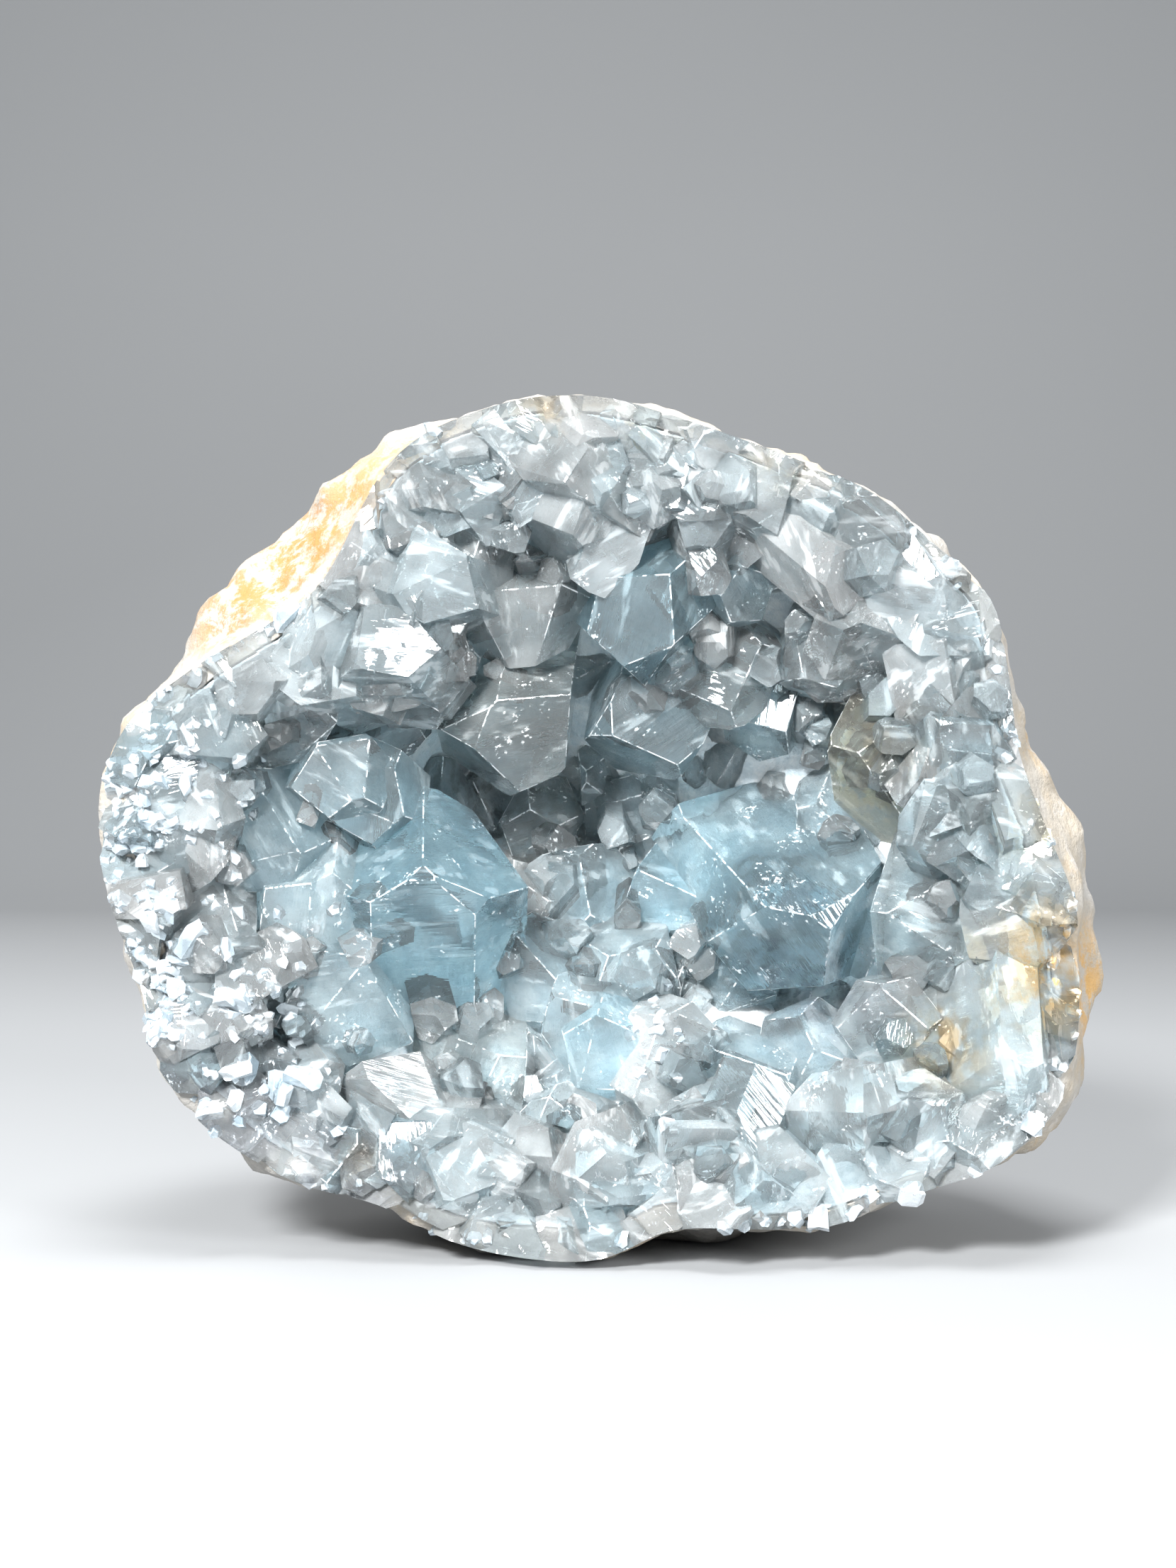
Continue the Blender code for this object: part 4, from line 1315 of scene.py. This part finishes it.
def make_lights():
    """Soft studio light from the front and above, and a pale surround."""
    aim = Vector((0, -0.02, MIDDLE_Z))
    for name, place, power, size in LIGHTS:
        data = bpy.data.lights.new(name, "AREA")
        data.shape = "SQUARE"
        data.energy = power
        data.size = size
        lamp = bpy.data.objects.new(name, data)
        lamp.location = place
        lamp.rotation_euler = (aim - Vector(place)).to_track_quat("-Z", "Y").to_euler()
        bpy.context.scene.collection.objects.link(lamp)
    world = bpy.data.worlds.new("studio")
    world.use_nodes = True
    back = world.node_tree.nodes["Background"]
    back.inputs["Color"].default_value = SURROUND
    back.inputs["Strength"].default_value = SURROUND_STRENGTH
    bpy.context.scene.world = world


def make_camera():
    """The photograph's viewpoint: level, straight into the mouth."""
    data = bpy.data.cameras.new("camera")
    data.sensor_fit = "VERTICAL"
    data.sensor_height = SENSOR_MM
    data.lens = SENSOR_MM * SIGHT_DISTANCE / FRAME_HEIGHT
    camera = bpy.data.objects.new("camera", data)
    camera.location = (SIGHT_X + CENTRING_X, MOUTH_Y - SIGHT_DISTANCE, SIGHT_Z)
    camera.rotation_euler = (math.radians(90), 0, 0)
    bpy.context.scene.collection.objects.link(camera)
    bpy.context.scene.camera = camera


def tree_of(piece):
    """A search tree of a finished piece."""
    return BVHTree.FromObject(piece, bpy.context.evaluated_depsgraph_get())


make_camera()
make_lights()
make_stage()

celestite = (clear_material(), broken_material())
room = make_room()
skin = make_skin()
bed = make_bed()
large = union_of(main_crystals() + fill_crystals(), "crystals", celestite, room)
rim = union_of(rim_crystals(), "rim_crystals", celestite, room)
small = union_of(
    crevice_crystals([tree_of(large), tree_of(bed), tree_of(rim)]),
    "crevice_crystals", celestite, room,
)
for piece in (large, rim, small):
    crisp(piece, SOFTEST_EDGE)
grains = make_grains([tree_of(piece) for piece in (large, rim, small, bed, skin)])
bpy.data.objects.remove(room, do_unlink=True)

for piece, slot, node in (
    (skin, "rock", "rock_shell"),
    (large, "celestite", "crystal_crust"),
    (rim, "celestite", None),
    (small, "celestite", None),
    (bed, "rock", None),
    (grains, "celestite", None),
):
    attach(piece, "root")
    if node:
        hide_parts(node)

bpy.context.scene.view_settings.view_transform = "Standard"
bpy.context.scene.cycles.max_bounces = LIGHT_BOUNCES
bpy.context.scene.cycles.transmission_bounces = LIGHT_BOUNCES
bpy.context.scene.cycles.diffuse_bounces = 2
bpy.context.scene.cycles.glossy_bounces = 2
bpy.context.scene.cycles.caustics_reflective = False
